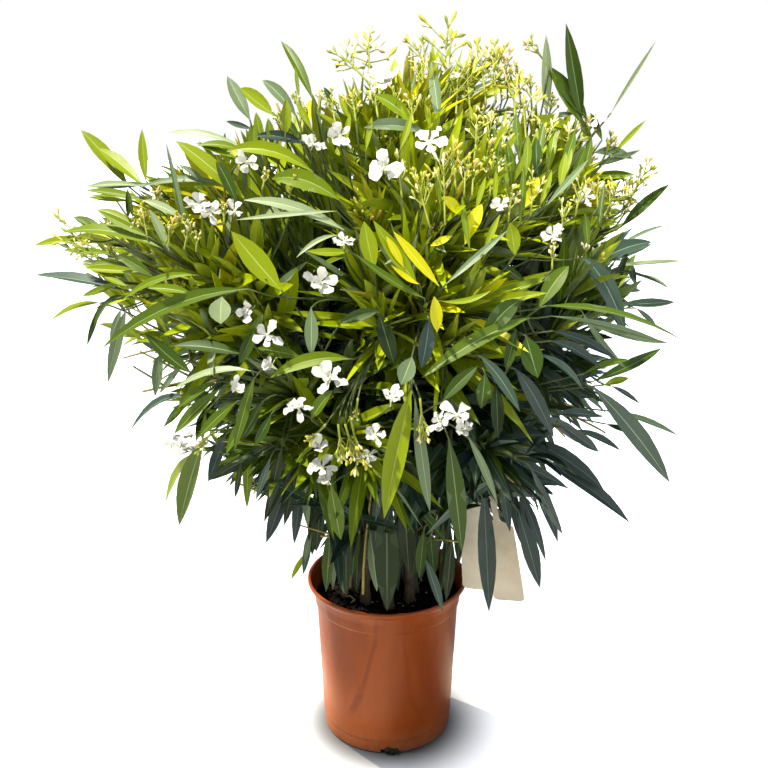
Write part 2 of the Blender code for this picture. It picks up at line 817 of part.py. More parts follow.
def nearest_stem(stems, azimuth):
    """The stem whose foot lies nearest to an azimuth."""
    return max(stems, key=lambda stem: stem.points[0].xy.normalized().dot(heading(azimuth).xy))


def place_plant(limbs, shoots, rng):
    """Make every limb, the label and every shoot, each shoot in its own space."""
    label_bough = next(limb for limb in limbs if limb.name == LABEL_BOUGH)
    label = add_piece("label", *label_solid(label_bough), "label")
    shade_round(label)
    for limb in limbs:
        kind = "stem" if limb.name.startswith("stem") else "bough"
        shade_round(add_piece(limb.name, *limb.solid(), kind))
    fat_limbs = {limb.name: limb.solid(LIMB_CLEARANCE) for limb in limbs}
    fat_limbs["label"] = label_solid(label_bough, LIMB_CLEARANCE)
    obstacles = tree_of(fat_limbs.values())
    sites = [crown_point(azimuth, elevation, SITE_FRACTION) for _, _, azimuth, elevation in shoots]
    for i, (name, limb, azimuth, elevation) in enumerate(shoots):
        space = Space(sites[i], [site for j, site in enumerate(sites) if j != i])
        end = crown_point(azimuth, elevation, SHOOT_FRACTION)
        if name.startswith("low"):
            start, way, _ = leave_limb(limb, LOW_SHOOT_HEIGHT, end)
        else:
            tip, way = limb.tip()
            start = tip + GAP * way
        shoot = Shoot(start, way, end, space, obstacles, random.Random(rng.random()))
        fuse("foliage_" + name, shoot.solids, "foliage")


def main():
    """Clear the scene and build the whole plant in its pot."""
    for old in list(bpy.data.objects):
        bpy.data.objects.remove(old)
    make_pot()
    make_compost()
    make_plant()


main()
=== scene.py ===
"""Looks of the potted white oleander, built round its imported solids.

Stems and boughs get bark, and each mass of leaves becomes finer twigs, leaves, flowers and buds that
grow on from the limbs by the rule of the part's own source. The pot, compost and label get finer
meshes and their finishes. Metres, +Z up, origin at the centre of the pot's underside, front at -Y.
"""

import math
import random

import bpy
import numpy as np
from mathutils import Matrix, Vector


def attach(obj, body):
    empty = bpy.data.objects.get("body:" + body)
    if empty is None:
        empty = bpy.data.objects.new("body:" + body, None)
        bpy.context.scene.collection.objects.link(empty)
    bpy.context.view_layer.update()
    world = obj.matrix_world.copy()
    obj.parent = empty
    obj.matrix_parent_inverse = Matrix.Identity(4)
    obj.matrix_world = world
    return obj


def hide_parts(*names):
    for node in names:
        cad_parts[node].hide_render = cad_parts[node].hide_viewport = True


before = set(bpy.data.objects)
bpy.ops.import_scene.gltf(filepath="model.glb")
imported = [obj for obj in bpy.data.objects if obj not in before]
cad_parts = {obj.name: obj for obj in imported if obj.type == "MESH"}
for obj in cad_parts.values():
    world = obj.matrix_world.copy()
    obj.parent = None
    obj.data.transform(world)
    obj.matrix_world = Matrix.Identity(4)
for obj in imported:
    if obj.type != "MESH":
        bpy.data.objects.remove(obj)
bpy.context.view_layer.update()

# ---- sizes shared with the part's source -------------------------------------------------------

SEED = 41
POT_HEIGHT = 0.250
RIM_RADIUS = 0.120
COLLAR_RADIUS = 0.1085
WALL_TOP_RADIUS = 0.1062
WALL_FOOT_RADIUS = 0.0985
FOOT_RADIUS = 0.0965
UPPER_RING_HEIGHT = 0.212
FOOT_RING_HEIGHT = 0.024
WALL_THICKNESS = 0.0022
FLOOR_THICKNESS = 0.003
NOTCH_WIDTH = 0.020
NOTCH_HEIGHT = 0.0075
NOTCH_AZIMUTHS = (-90, 0, 90, 180)
COMPOST_LEVEL = 0.222
GAP = 0.0003  # between solids that touch on the real plant

STEM_COUNT = 8
STEM_RING_RADIUS = 0.044
STEM_FLARE_RADIUS = 0.0100
STEM_FOOT_RADIUS = 0.0066
STEM_TIP_RADIUS = 0.0030
FLARE_HEIGHT = 0.012
BOUGH_FOOT_RADIUS = 0.0037
BOUGH_TIP_RADIUS = 0.0024
FORK_HEIGHTS = {"upper": 0.435, "side": 0.375}
LOW_SHOOT_HEIGHT = 0.335

HEART = np.array((-0.02, 0.0, 0.62))
REACH_RIGHT = 0.41
REACH_LEFT = 0.445
REACH_DEPTH = 0.395
REACH_UP = 0.408
REACH_DOWN = 0.350
CROWN_LEAN = 0.13
LEADER_RINGS = (("top", 3, 40.0, 70.0), ("shoulder", 5, 0.0, 42.0))
BOUGH_RINGS = (("upper", 8, 11.0, 18.0), ("side", 8, 34.0, -14.0))
LOW_RING = ("low", 6, 10.0, -56.0)
ROOT_FRACTION = 0.36
SHOOT_FRACTION = 0.80

LABEL_WIDTH = 0.046
LABEL_PANEL = 0.135
STRAP_WIDTH = 0.009
LABEL_THICKNESS = 0.0010
LABEL_SLACK = 0.0012
LABEL_FRONT_DROP = 0.322
LABEL_BACK_DROP = 0.360  # 8 mm more than the solid's, for the curl of the card's end
LABEL_FRONT_SWING = 0.13
LABEL_BACK_SWING = 0.28
LABEL_BOUGH = "bough_8_side"
LABEL_REACH = 0.108

UP = np.array((0.0, 0.0, 1.0))

# ---- view: the front camera, in pixels of a 768-pixel square frame -----------------------------

FRAME_PIXELS = 768
CAMERA_PLACE = np.array((0.0, -1.55, 1.092))
CAMERA_PITCH = math.radians(19.18)
FOCAL_PIXELS = 1156.0
AXIS_PIXEL = 387.3  # the column that the pot's axis falls on
SENSOR = 36.0

# row, left and right column of the crown's outline, without the single leaves that stand out of it
CROWN_ROWS = (
    (35, 435, 455), (70, 345, 560), (100, 273, 606), (130, 218, 621), (165, 145, 628), (200, 101, 634),
    (240, 71, 638), (290, 73, 646), (340, 108, 638), (390, 141, 618), (440, 175, 606), (480, 211, 582),
    (520, 275, 558), (560, 318, 450), (600, 345, 440),
)
# left, top, right and bottom of the gaps in which the sky shows between the leaves
SKY_WINDOWS = (
    (110, 348, 148, 400), (112, 306, 158, 326), (560, 327, 600, 336), (556, 343, 584, 352),
    (155, 326, 172, 337), (180, 331, 198, 343), (160, 362, 190, 390), (592, 341, 632, 357),
    (550, 430, 577, 453), (600, 456, 622, 478), (286, 512, 304, 552),
)
# left, top, right and bottom of what keeps clear of the label, and of the front of the pot's mouth
LABEL_WINDOW = (462, 507, 530, 610)
MOUTH_WINDOW = (352, 535, 460, 640)

# single leaves by tone, whose tone holds the sunlight and shade painted on each leaf as well as its colour:
# columns and rows of foot and tip, width and bow in pixels, share of the crown
FRONT_LEAVES = {
    "golden": (
        (452, 236, 430, 246, 8, 0, 1.03), (404, 268, 386, 236, 9, 0, 1.03),
        (439, 286, 393, 231, 12, 0, 1.03), (419, 284, 391, 265, 9, -2, 1.04),
        (462, 216, 441, 197, 13, 2, 1.01), (465, 244, 482, 204, 16, 2, 1.01),
        (525, 207, 539, 177, 12, 0, 1.01), (437, 332, 434, 296, 14, 0, 1.05),
    ),
    "sunny": (
        (312, 130, 297, 102, 7, 0, 1.0), (216, 166, 184, 151, 7, 0, 0.99), (128, 230, 100, 226, 6, 0, 0.98),
        (344, 146, 350, 112, 6, 0, 1.0), (366, 150, 372, 116, 6, 0, 1.0), (430, 128, 426, 96, 6, 0, 0.99),
        (474, 140, 470, 104, 6, 0, 0.99), (500, 146, 506, 110, 6, 0, 0.99), (276, 116, 240, 88, 11, 0, 1.0),
        (285, 135, 286, 98, 11, 0, 1.02), (132, 201, 87, 197, 5, 0, 0.98), (140, 272, 84, 268, 10, 0, 0.98),
        (127, 286, 104, 277, 7, 0, 0.99), (574, 134, 534, 119, 9, 0, 1.0), (494, 204, 496, 168, 6, 0, 1.03),
        (420, 210, 424, 170, 6, 0, 1.03), (452, 150, 462, 112, 6, 0, 1.0), (400, 150, 412, 112, 7, 0, 1.0),
        (530, 160, 538, 128, 6, 0, 1.0), (484, 250, 500, 214, 7, 0, 1.03), (476, 210, 486, 176, 6, 0, 1.03),
        (564, 178, 572, 148, 6, 0, 1.0), (540, 206, 552, 170, 7, 0, 1.01), (128, 186, 81, 130, 16, 2, 0.94),
        (143, 186, 98, 148, 15, 4, 0.96), (146, 181, 142, 129, 10, 0, 0.94),
        (139, 229, 96, 210, 10, 3, 0.96), (90, 240, 33, 246, 10, 2, 0.94), (100, 303, 50, 321, 11, 4, 0.94),
        (281, 290, 231, 231, 26, -3, 1.01), (244, 198, 176, 141, 19, 3, 0.99),
        (313, 172, 226, 152, 16, 10, 1.01), (274, 116, 240, 88, 13, 4, 0.96),
        (285, 135, 286, 103, 12, 0, 0.97), (374, 270, 364, 221, 19, 0, 1.02),
        (417, 284, 373, 220, 17, -3, 1.03), (515, 255, 510, 222, 16, 0, 1.01),
        (442, 301, 492, 290, 7, -6, 1.04), (190, 455, 165, 505, 15, 5, 0.96),
        (349, 251, 306, 251, 10, -2, 1.03), (411, 391, 384, 519, 25, 4, 1.06),
        (614, 153, 646, 120, 6, 0, 0.95), (576, 131, 528, 119, 11, 3, 0.98),
        (604, 385, 629, 378, 9, 0, 0.97), (123, 284, 82, 264, 9, 2, 0.97), (560, 188, 566, 152, 9, 0, 0.99),
    ),
    "grass": (
        (112, 254, 62, 250, 9, 0, 0.97), (120, 282, 82, 296, 8, 0, 0.97), (262, 146, 256, 112, 10, 0, 1.0),
        (592, 150, 580, 116, 9, 0, 0.98), (236, 158, 196, 143, 8, 0, 0.99), (272, 146, 268, 118, 9, 0, 1.0),
        (299, 99, 295, 66, 4, 0, 0.97), (139, 197, 86, 190, 9, 0, 0.98), (149, 237, 97, 210, 9, 0, 1.0),
        (255, 148, 254, 124, 9, 0, 1.0), (588, 176, 636, 175, 10, 0, 0.97),
        (508, 206, 506, 158, 6, 0, 1.02), (440, 206, 436, 160, 7, 0, 1.03),
        (470, 250, 462, 196, 7, 0, 1.03), (206, 412, 202, 442, 6, 0, 0.98),
        (349, 359, 270, 378, 16, 8, 1.03), (144, 201, 86, 191, 9, 3, 0.97),
        (159, 247, 61, 233, 16, 9, 0.99), (339, 200, 271, 179, 21, 9, 1.01),
        (412, 123, 374, 95, 15, 3, 1.0), (196, 275, 121, 301, 9, 9, 0.99), (143, 200, 88, 196, 6, 2, 0.98),
        (123, 268, 88, 266, 10, 2, 0.98), (193, 294, 147, 288, 10, 3, 1.0),
        (245, 152, 197, 146, 9, 4, 0.99), (526, 176, 528, 134, 9, 0, 0.99),
        (548, 172, 556, 128, 10, 0, 0.98),
    ),
    "leaf": (
        (300, 140, 277, 112, 10, 0, 1.0), (602, 140, 590, 112, 7, 0, 0.98),
        (600, 200, 634, 198, 7, 0, 0.97), (250, 340, 262, 312, 8, 0, 1.0), (584, 126, 549, 66, 13, 0, 0.98),
        (98, 230, 73, 217, 7, 0, 0.97), (133, 218, 127, 188, 5, 0, 0.99), (520, 226, 524, 164, 8, 0, 1.02),
        (588, 246, 585, 212, 8, 0, 1.0), (247, 289, 101, 349, 17, 14, 1.01),
        (104, 231, 73, 217, 9, 2, 0.94), (153, 277, 117, 255, 12, 2, 0.99),
        (215, 382, 178, 408, 11, 2, 0.99), (512, 186, 506, 140, 9, 0, 1.0),
        (582, 180, 592, 138, 9, 0, 0.97), (313, 100, 281, 41, 11, 4, 0.95),
        (424, 298, 354, 253, 10, -4, 1.04), (331, 486, 341, 540, 19, 0, 1.0),
        (204, 439, 179, 526, 24, 5, 0.98), (254, 378, 234, 451, 13, 3, 1.01),
        (219, 389, 174, 434, 15, 0, 0.99), (299, 356, 257, 348, 15, 0, 1.03),
        (589, 178, 631, 174, 11, 0, 0.96), (584, 374, 630, 360, 8, 3, 0.98),
        (560, 176, 575, 130, 11, 0, 0.98), (520, 160, 516, 112, 10, 0, 0.99),
        (496, 190, 500, 140, 9, 0, 1.0), (311, 419, 333, 390, 15, 0, 1.04),
        (546, 306, 687, 343, 15, 12, 1.07), (529, 318, 422, 378, 18, 6, 1.04),
        (539, 308, 569, 266, 19, 3, 1.01), (236, 402, 198, 438, 13, 2, 0.99),
        (248, 412, 226, 454, 12, 0, 1.0), (536, 170, 544, 122, 10, 0, 0.98),
        (570, 186, 586, 146, 9, 0, 0.98), (500, 176, 494, 126, 10, 0, 0.99),
    ),
    "deep": (
        (498, 262, 526, 282, 10, 0, 0.9), (336, 106, 324, 87, 7, 0, 0.99), (72, 250, 53, 238, 6, 0, 0.96),
        (101, 303, 87, 346, 6, 0, 0.97), (598, 232, 605, 180, 6, 0, 0.99), (188, 402, 163, 427, 6, 0, 0.97),
        (271, 414, 254, 446, 11, 0, 1.01), (254, 330, 239, 364, 13, 0, 1.01),
        (449, 440, 462, 553, 22, 4, 1.04), (516, 330, 506, 371, 13, 0, 1.03),
        (485, 373, 481, 409, 16, 0, 1.04), (526, 336, 538, 378, 24, 0, 1.04),
        (521, 300, 480, 343, 21, 6, 1.03), (442, 402, 478, 366, 15, 2, 1.04),
        (123, 296, 87, 346, 8, 14, 0.96), (339, 324, 379, 311, 13, 2, 1.01),
        (621, 227, 670, 184, 12, 0, 0.95), (594, 381, 662, 348, 13, -2, 0.97),
        (193, 401, 165, 424, 8, 3, 0.97), (241, 354, 173, 346, 15, 3, 0.98),
        (191, 373, 145, 333, 16, -4, 0.98), (582, 118, 566, 23, 15, -3, 0.94),
        (588, 120, 546, 65, 15, 2, 0.95), (538, 176, 536, 136, 12, 0, 0.99),
        (237, 203, 216, 161, 13, 2, 1.0), (128, 218, 127, 190, 6, 0, 0.98),
        (262, 402, 240, 442, 12, 0, 1.0),
    ),
    "shade": (
        (520, 316, 548, 334, 10, 0, 0.9), (606, 424, 640, 434, 7, 0, 0.96),
        (611, 271, 669, 289, 4, 5, 0.96), (241, 462, 235, 498, 7, 0, 0.97),
        (278, 440, 207, 481, 13, 0, 0.95), (282, 446, 269, 510, 13, 0, 0.97),
        (379, 313, 394, 364, 19, 0, 1.01), (496, 383, 498, 439, 15, 0, 1.02),
    ),
    "ink": (
        (530, 466, 563, 535, 12, -4, 0.95), (226, 434, 208, 482, 15, 0, 0.93),
        (306, 144, 255, 136, 12, 3, 0.99), (429, 319, 421, 369, 17, 0, 1.04),
        (553, 331, 616, 359, 12, 4, 0.98), (551, 341, 601, 368, 13, 4, 0.98),
        (611, 386, 640, 404, 6, 2, 0.96), (556, 414, 601, 417, 11, 2, 0.98),
        (559, 424, 599, 452, 13, 0, 0.98), (575, 430, 621, 451, 10, 3, 0.97),
        (515, 369, 554, 438, 17, 8, 1.02),
    ),
    "sea": (
        (606, 262, 652, 244, 9, 0, 0.96), (252, 129, 226, 121, 6, 0, 0.98),
        (627, 256, 636, 286, 8, 0, 0.97), (618, 305, 675, 302, 10, 0, 0.95),
        (636, 308, 656, 325, 6, 0, 0.95), (610, 312, 626, 335, 8, 0, 0.97),
        (271, 456, 256, 500, 8, 0, 0.97), (123, 290, 34, 275, 16, 3, 0.95),
        (596, 263, 652, 242, 15, 4, 0.96), (583, 258, 626, 333, 21, 12, 0.99),
        (480, 356, 520, 412, 14, 5, 1.03), (189, 398, 130, 431, 11, 14, 0.96),
        (600, 280, 625, 330, 12, 4, 0.98), (540, 355, 584, 391, 10, 6, 1.0),
        (593, 387, 670, 483, 23, 6, 0.97),
    ),
    "sage": (
        (121, 309, 110, 342, 8, 0, 0.97), (152, 184, 85, 186, 8, 0, 0.97), (596, 166, 640, 150, 6, 0, 0.97),
        (611, 252, 667, 225, 4, 4, 0.96), (588, 324, 669, 343, 9, -3, 0.96),
        (577, 113, 546, 118, 6, 0, 0.97), (446, 284, 508, 230, 8, 0, 1.04),
        (546, 206, 589, 159, 8, 0, 1.01), (126, 310, 108, 383, 13, 4, 0.98),
        (250, 120, 227, 76, 14, 0, 0.96), (296, 116, 262, 80, 13, 4, 0.96),
        (426, 133, 363, 128, 14, 4, 1.01), (439, 123, 431, 61, 12, 0, 0.98),
        (412, 357, 401, 385, 20, 0, 1.05), (632, 306, 675, 302, 9, 0, 0.94),
        (636, 275, 669, 288, 6, 2, 0.94), (581, 310, 626, 368, 8, -6, 0.99),
        (617, 412, 679, 436, 9, 3, 0.96), (468, 437, 498, 505, 9, 4, 1.04),
        (551, 316, 667, 344, 8, 4, 1.06), (415, 399, 430, 512, 15, -4, 1.05),
        (160, 354, 155, 397, 12, 4, 0.97), (183, 363, 159, 394, 7, 0, 0.97),
        (311, 308, 311, 356, 15, 0, 1.03), (594, 153, 633, 159, 11, 3, 0.96),
        (221, 183, 141, 187, 8, 5, 0.98), (209, 187, 179, 165, 7, 2, 0.98),
        (188, 243, 166, 143, 6, 0, 0.98),
    ),
    "silver": (
        (124, 264, 79, 262, 6, 0, 0.97), (140, 186, 86, 187, 7, 3, 0.98), (184, 219, 143, 200, 10, 2, 1.0),
        (240, 146, 167, 133, 7, 5, 0.97), (169, 251, 149, 209, 10, 0, 0.99),
        (344, 230, 243, 200, 13, 8, 1.01), (336, 211, 235, 220, 6, 0, 1.03),
        (612, 266, 687, 261, 6, 0, 0.94), (251, 371, 171, 391, 10, 10, 0.99),
        (338, 235, 296, 258, 6, 4, 1.03), (222, 297, 221, 324, 25, 0, 1.01),
        (546, 116, 546, 35, 11, 0, 0.94), (611, 113, 656, 41, 4, 0, 0.94),
    ),
}
# leaves that hang round the pot's mouth, by tone, their dark tones painted shade under the crown: as above,
# but with their depth in metres
HANGING_LEAVES = {
    "ink": (
        (511, 480, 522, 546, 12, 0, 0.05), (520, 482, 532, 562, 12, 0, 0.06),
        (484, 490, 489, 612, 21, 2, -0.1), (398, 470, 403, 562, 15, 0, -0.06),
        (362, 478, 352, 562, 13, 0, -0.06), (446, 470, 437, 556, 14, 0, -0.05),
        (472, 458, 470, 522, 14, 0, 0.05), (486, 460, 484, 528, 14, 0, 0.06),
        (304, 470, 294, 545, 13, 0, -0.07), (518, 511, 540, 588, 20, 3, -0.06),
        (529, 467, 558, 543, 15, 5, -0.06), (520, 490, 546, 562, 12, 3, -0.05),
        (500, 470, 510, 532, 12, 0, -0.06), (293, 465, 266, 543, 17, -3, -0.08),
        (272, 456, 270, 509, 10, 0, -0.08), (525, 439, 604, 490, 19, 6, -0.08),
        (540, 460, 630, 523, 18, 6, -0.08),
    ),
    "sea": (
        (309, 530, 303, 575, 9, 0, -0.06), (377, 490, 375, 557, 13, 0, -0.11),
        (425, 558, 443, 612, 12, 1, -0.13),
    ),
    "shade": (
        (386, 498, 387, 611, 29, 0, -0.135), (281, 452, 257, 498, 9, 0, -0.08),
        (281, 446, 209, 477, 16, 4, -0.1), (417, 528, 413, 577, 15, 0, -0.1),
        (424, 476, 421, 548, 13, 0, -0.05), (455, 466, 459, 536, 12, 0, -0.04),
        (262, 444, 220, 468, 14, 2, -0.09), (292, 452, 264, 522, 14, 0, -0.08),
        (300, 456, 284, 526, 14, 0, -0.08), (250, 430, 214, 452, 12, 2, -0.09),
        (500, 468, 506, 532, 14, 0, 0.05), (411, 500, 397, 578, 12, 0, -0.09),
        (347, 474, 363, 556, 12, 0, -0.05), (452, 538, 446, 601, 13, 0, -0.12),
        (322, 500, 316, 552, 15, 0, -0.09), (404, 488, 409, 574, 20, 0, -0.11),
        (344, 506, 346, 598, 14, 0, -0.1), (318, 484, 312, 556, 15, 0, -0.06),
        (358, 512, 356, 594, 13, 0, -0.07), (393, 520, 398, 592, 13, 0, -0.06),
        (432, 512, 420, 582, 13, 0, -0.08), (436, 500, 452, 562, 13, 2, -0.09),
        (450, 520, 440, 596, 11, 0, -0.11), (459, 498, 459, 566, 12, 0, -0.06),
        (340, 498, 330, 560, 14, 2, -0.08),
    ),
    "deep": (
        (405, 497, 447, 544, 13, 2, -0.125), (330, 530, 326, 592, 14, 0, -0.1),
        (424, 530, 419, 578, 13, 0, -0.125), (430, 530, 434, 577, 14, 0, -0.1),
        (356, 505, 352, 578, 13, 0, -0.08),
    ),
    "sage": (
        (328, 530, 333, 589, 12, 0, -0.06), (370, 532, 377, 592, 13, 0, -0.11),
        (304, 470, 308, 528, 10, 0, -0.09), (342, 540, 344, 594, 14, 0, -0.075),
        (311, 530, 305, 562, 8, 0, -0.07),
    ),
    "grass": ((249, 440, 247, 509, 11, 0, -0.1),),
    "lime": ((308, 551, 291, 580, 7, 0, -0.05),),
}
YOUNG_STEM_FOOT = (363, 594)
YOUNG_STEM_TOP = (373, 470)
YOUNG_STEM_DEPTH = -0.105

# open flowers: column, row, width in pixels, share of the crown
FRONT_FLOWERS = (
    (384, 168, 38, 1.03), (429, 143, 38, 1.03), (340, 136, 31, 1.02), (247, 162, 27, 1.01),
    (199, 204, 31, 1.01), (210, 213, 25, 1.01), (235, 211, 20, 1.01), (267, 335, 31, 1.03),
    (272, 366, 26, 1.03), (320, 284, 38, 1.04), (344, 242, 22, 1.03), (331, 377, 35, 1.05),
    (298, 407, 31, 1.04), (320, 447, 27, 1.03), (322, 468, 34, 1.04), (327, 480, 28, 1.03),
    (375, 435, 29, 1.04), (368, 456, 24, 1.03), (391, 398, 28, 1.06), (440, 422, 32, 1.05),
    (457, 415, 34, 1.06), (465, 429, 26, 1.05), (553, 236, 29, 1.02), (236, 389, 25, 1.0),
    (180, 443, 31, 0.97), (184, 448, 24, 0.98), (501, 206, 27, 1.01), (596, 118, 28, 0.97),
    (379, 80, 30, 0.99), (392, 76, 27, 0.99), (586, 197, 22, 1.0), (313, 144, 24, 1.0), (450, 75, 20, 0.98),
    (246, 311, 24, 1.02),
)
# forking stalks of buds: columns and rows of foot and top, share of the crown
FRONT_CYMES = (
    (451, 92, 444, 28, 0.95), (508, 98, 505, 54, 0.96), (521, 106, 517, 66, 0.97),
    (496, 102, 493, 46, 0.96), (532, 110, 530, 78, 0.97), (622, 214, 628, 178, 0.95),
    (626, 208, 640, 180, 0.94), (214, 430, 198, 449, 0.97), (472, 196, 474, 162, 1.02),
    (604, 216, 618, 186, 0.97), (616, 226, 634, 200, 0.95), (300, 112, 294, 94, 0.98),
    (456, 190, 452, 150, 1.02), (402, 198, 398, 166, 1.03), (424, 206, 428, 176, 1.03),
    (508, 222, 512, 190, 1.02), (490, 196, 492, 158, 1.01), (432, 76, 414, 44, 0.95),
    (368, 82, 341, 53, 0.96), (370, 78, 368, 40, 0.95), (424, 92, 421, 66, 0.97), (470, 112, 467, 66, 0.97),
    (486, 104, 480, 50, 0.96), (502, 100, 497, 50, 0.96), (456, 116, 458, 70, 0.98),
    (445, 225, 443, 152, 1.03), (430, 228, 415, 172, 1.03), (464, 196, 466, 160, 1.02),
    (515, 116, 513, 80, 0.98), (526, 138, 523, 100, 0.99), (550, 68, 528, 40, 0.94),
    (624, 208, 649, 166, 0.95), (610, 216, 612, 188, 0.96), (598, 208, 596, 184, 0.98),
    (136, 246, 136, 222, 0.98), (169, 247, 169, 224, 0.99), (96, 256, 74, 246, 0.95),
    (224, 224, 224, 204, 1.01), (262, 190, 267, 170, 1.0), (552, 270, 553, 244, 1.02),
    (345, 424, 355, 458, 1.04), (326, 424, 308, 443, 1.04), (358, 398, 355, 418, 1.04),
    (350, 416, 361, 466, 1.04), (338, 424, 343, 462, 1.04), (420, 398, 424, 440, 1.04),
    (490, 150, 487, 112, 1.0), (506, 168, 503, 128, 1.0), (474, 160, 478, 122, 1.0),
    (318, 110, 322, 92, 0.98), (300, 124, 302, 106, 0.98), (586, 152, 591, 118, 0.97),
    (566, 160, 570, 126, 0.99), (541, 162, 545, 124, 1.0), (600, 166, 614, 136, 0.97),
    (575, 216, 582, 184, 1.0), (560, 236, 566, 204, 1.01), (530, 216, 535, 178, 1.01),
    (548, 128, 552, 96, 0.97), (160, 216, 156, 190, 0.99), (118, 262, 108, 246, 0.97),
    (196, 252, 198, 232, 1.0), (100, 252, 66, 230, 0.96), (108, 262, 80, 250, 0.97),
    (148, 240, 142, 208, 0.98), (164, 246, 180, 214, 0.99), (184, 250, 190, 222, 1.0),
    (122, 240, 106, 222, 0.97), (336, 126, 330, 96, 0.98), (356, 122, 352, 92, 0.98),
    (378, 118, 374, 88, 0.98), (398, 122, 394, 92, 0.99), (414, 128, 410, 96, 0.99),
    (286, 132, 276, 114, 0.98), (290, 190, 296, 168, 1.01),
)


# ---- small vector helpers ----------------------------------------------------------------------


def unit(v):
    """Vectors scaled to length one."""
    return v / np.maximum(np.linalg.norm(v, axis=-1, keepdims=True), 1e-9)


def across(v, way):
    """What is left of v square to the unit vector way."""
    return v - way * (v * way).sum(-1, keepdims=True)


def heading(azimuth, elevation=0.0):
    """Unit vector at an azimuth from +X and an elevation, both in degrees."""
    a, e = np.broadcast_arrays(np.radians(azimuth), np.radians(elevation))
    return np.stack((np.cos(e) * np.cos(a), np.cos(e) * np.sin(a), np.sin(e)), -1)


def tilted(way, turn, angle):
    """Directions at an angle from way, turned round it from its upper side, in degrees."""
    upper = across(UP + 0.001 * np.array((1.0, 0.0, 0.0)), way)
    upper = unit(upper)
    beside = np.cross(way, upper)
    a = np.radians(angle)[..., None] if np.ndim(angle) else math.radians(angle)
    t = np.radians(turn)[..., None] if np.ndim(turn) else math.radians(turn)
    return np.cos(a) * way + np.sin(a) * (np.cos(t) * upper + np.sin(t) * beside)


def cubic(controls, count):
    """Points along a cubic curve that leaves the first control for the second and ends from the third."""
    t = np.linspace(0, 1, count)[:, None]
    s = 1 - t
    a, b, c, d = controls
    return s**3 * a + 3 * s * s * t * b + 3 * s * t * t * c + t**3 * d


def sprig(root, out, reach, tip, count):
    """A twig's curve, which sets off along out and turns to its tip."""
    return cubic((root, root + 0.4 * reach * out, root + 0.7 * (tip - root), tip), count)


def point_at(path, share):
    """The points at shares of a path, and the directions there."""
    place = np.clip(np.asarray(share, float), 0, 1) * (len(path) - 1)
    i = np.minimum(place.astype(int), len(path) - 2)
    part = (place - i)[..., None]
    return path[i] + part * (path[i + 1] - path[i]), unit(path[i + 1] - path[i])


def crown_reaches(way):
    """The crown's reach along each axis, on the side that way points to."""
    return np.stack(
        (
            np.where(way[..., 0] > 0, REACH_RIGHT, REACH_LEFT),
            np.full(way.shape[:-1], REACH_DEPTH),
            np.where(way[..., 2] > 0, REACH_UP, REACH_DOWN),
        ),
        -1,
    )


def crown_point(azimuth, elevation, share):
    """A point at this share of the way from the crown's heart to its outline."""
    way = heading(azimuth, elevation)
    point = share * way * crown_reaches(way)
    point[2] -= CROWN_LEAN * point[0]
    return HEART + point


def crown_share(points):
    """How far points are from the crown's heart, as a share of its outline."""
    offset = points - HEART
    offset = np.stack((offset[..., 0], offset[..., 1], offset[..., 2] + CROWN_LEAN * offset[..., 0]), -1)
    return np.linalg.norm(offset / crown_reaches(offset), axis=-1)


def view_ray(x, y):
    """Direction from the camera through a pixel of the front view."""
    right = (x - AXIS_PIXEL) / FOCAL_PIXELS
    rise = (FRAME_PIXELS / 2 - y) / FOCAL_PIXELS
    cos, sin = math.cos(CAMERA_PITCH), math.sin(CAMERA_PITCH)
    return np.array((right, cos + rise * sin, rise * cos - sin))


def in_view(points):
    """Columns and rows at which the front view shows points."""
    offset = points - CAMERA_PLACE
    cos, sin = math.cos(CAMERA_PITCH), math.sin(CAMERA_PITCH)
    ahead = offset[..., 1] * cos - offset[..., 2] * sin
    rise = offset[..., 1] * sin + offset[..., 2] * cos
    return AXIS_PIXEL + FOCAL_PIXELS * offset[..., 0] / ahead, FRAME_PIXELS / 2 - FOCAL_PIXELS * rise / ahead


def within_outline(points):
    """Whether points lie within the crown's outline in the front view."""
    columns, rows = in_view(points)
    heights, left, right = np.array(CROWN_ROWS).T
    inside = (columns >= np.interp(rows, heights, left)) & (columns <= np.interp(rows, heights, right))
    return inside & (rows > heights[0])


def in_windows(points, windows):
    """Whether the front view shows points within one of some windows."""
    columns, rows = in_view(points)
    found = np.zeros(np.shape(columns), bool)
    for left, top, right, bottom in windows:
        found |= (columns > left) & (columns < right) & (rows > top) & (rows < bottom)
    return found


def hides(points):
    """Whether points stand in front of the label or of the pot's mouth in the front view."""
    hidden = False
    for window, depth in ((LABEL_WINDOW, 0.02), (MOUTH_WINDOW, -0.04)):
        hidden = hidden | (in_windows(points, (window,)) & (points[..., 1] < depth))
    return hidden


def pixel_size(point):
    """How many metres a pixel of the front view spans at a point."""
    return (point[1] - CAMERA_PLACE[1]) / math.cos(CAMERA_PITCH) / FOCAL_PIXELS


def seen_at(x, y, depth):
    """The point that the front view shows at a pixel, depth metres behind the pot's axis."""
    ray = view_ray(x, y)
    return CAMERA_PLACE + ray * (depth - CAMERA_PLACE[1]) / ray[1]


def seen_on_crown(x, y, share):
    """The nearest point that the front view shows at a pixel on the crown shrunk to a share."""
    depths = np.linspace(-0.50, 0.30, 400)[:, None]
    ray = view_ray(x, y)
    points = CAMERA_PLACE + ray * (depths - CAMERA_PLACE[1]) / ray[1]
    shares = crown_share(points)
    inside = np.nonzero(shares <= share)[0]
    return points[inside[0] if len(inside) else int(np.argmin(shares))]


# ---- meshes from arrays ------------------------------------------------------------------------


def placed(name, data):
    """An object in the scene for some data."""
    thing = bpy.data.objects.new(name, data)
    bpy.context.scene.collection.objects.link(thing)
    return thing


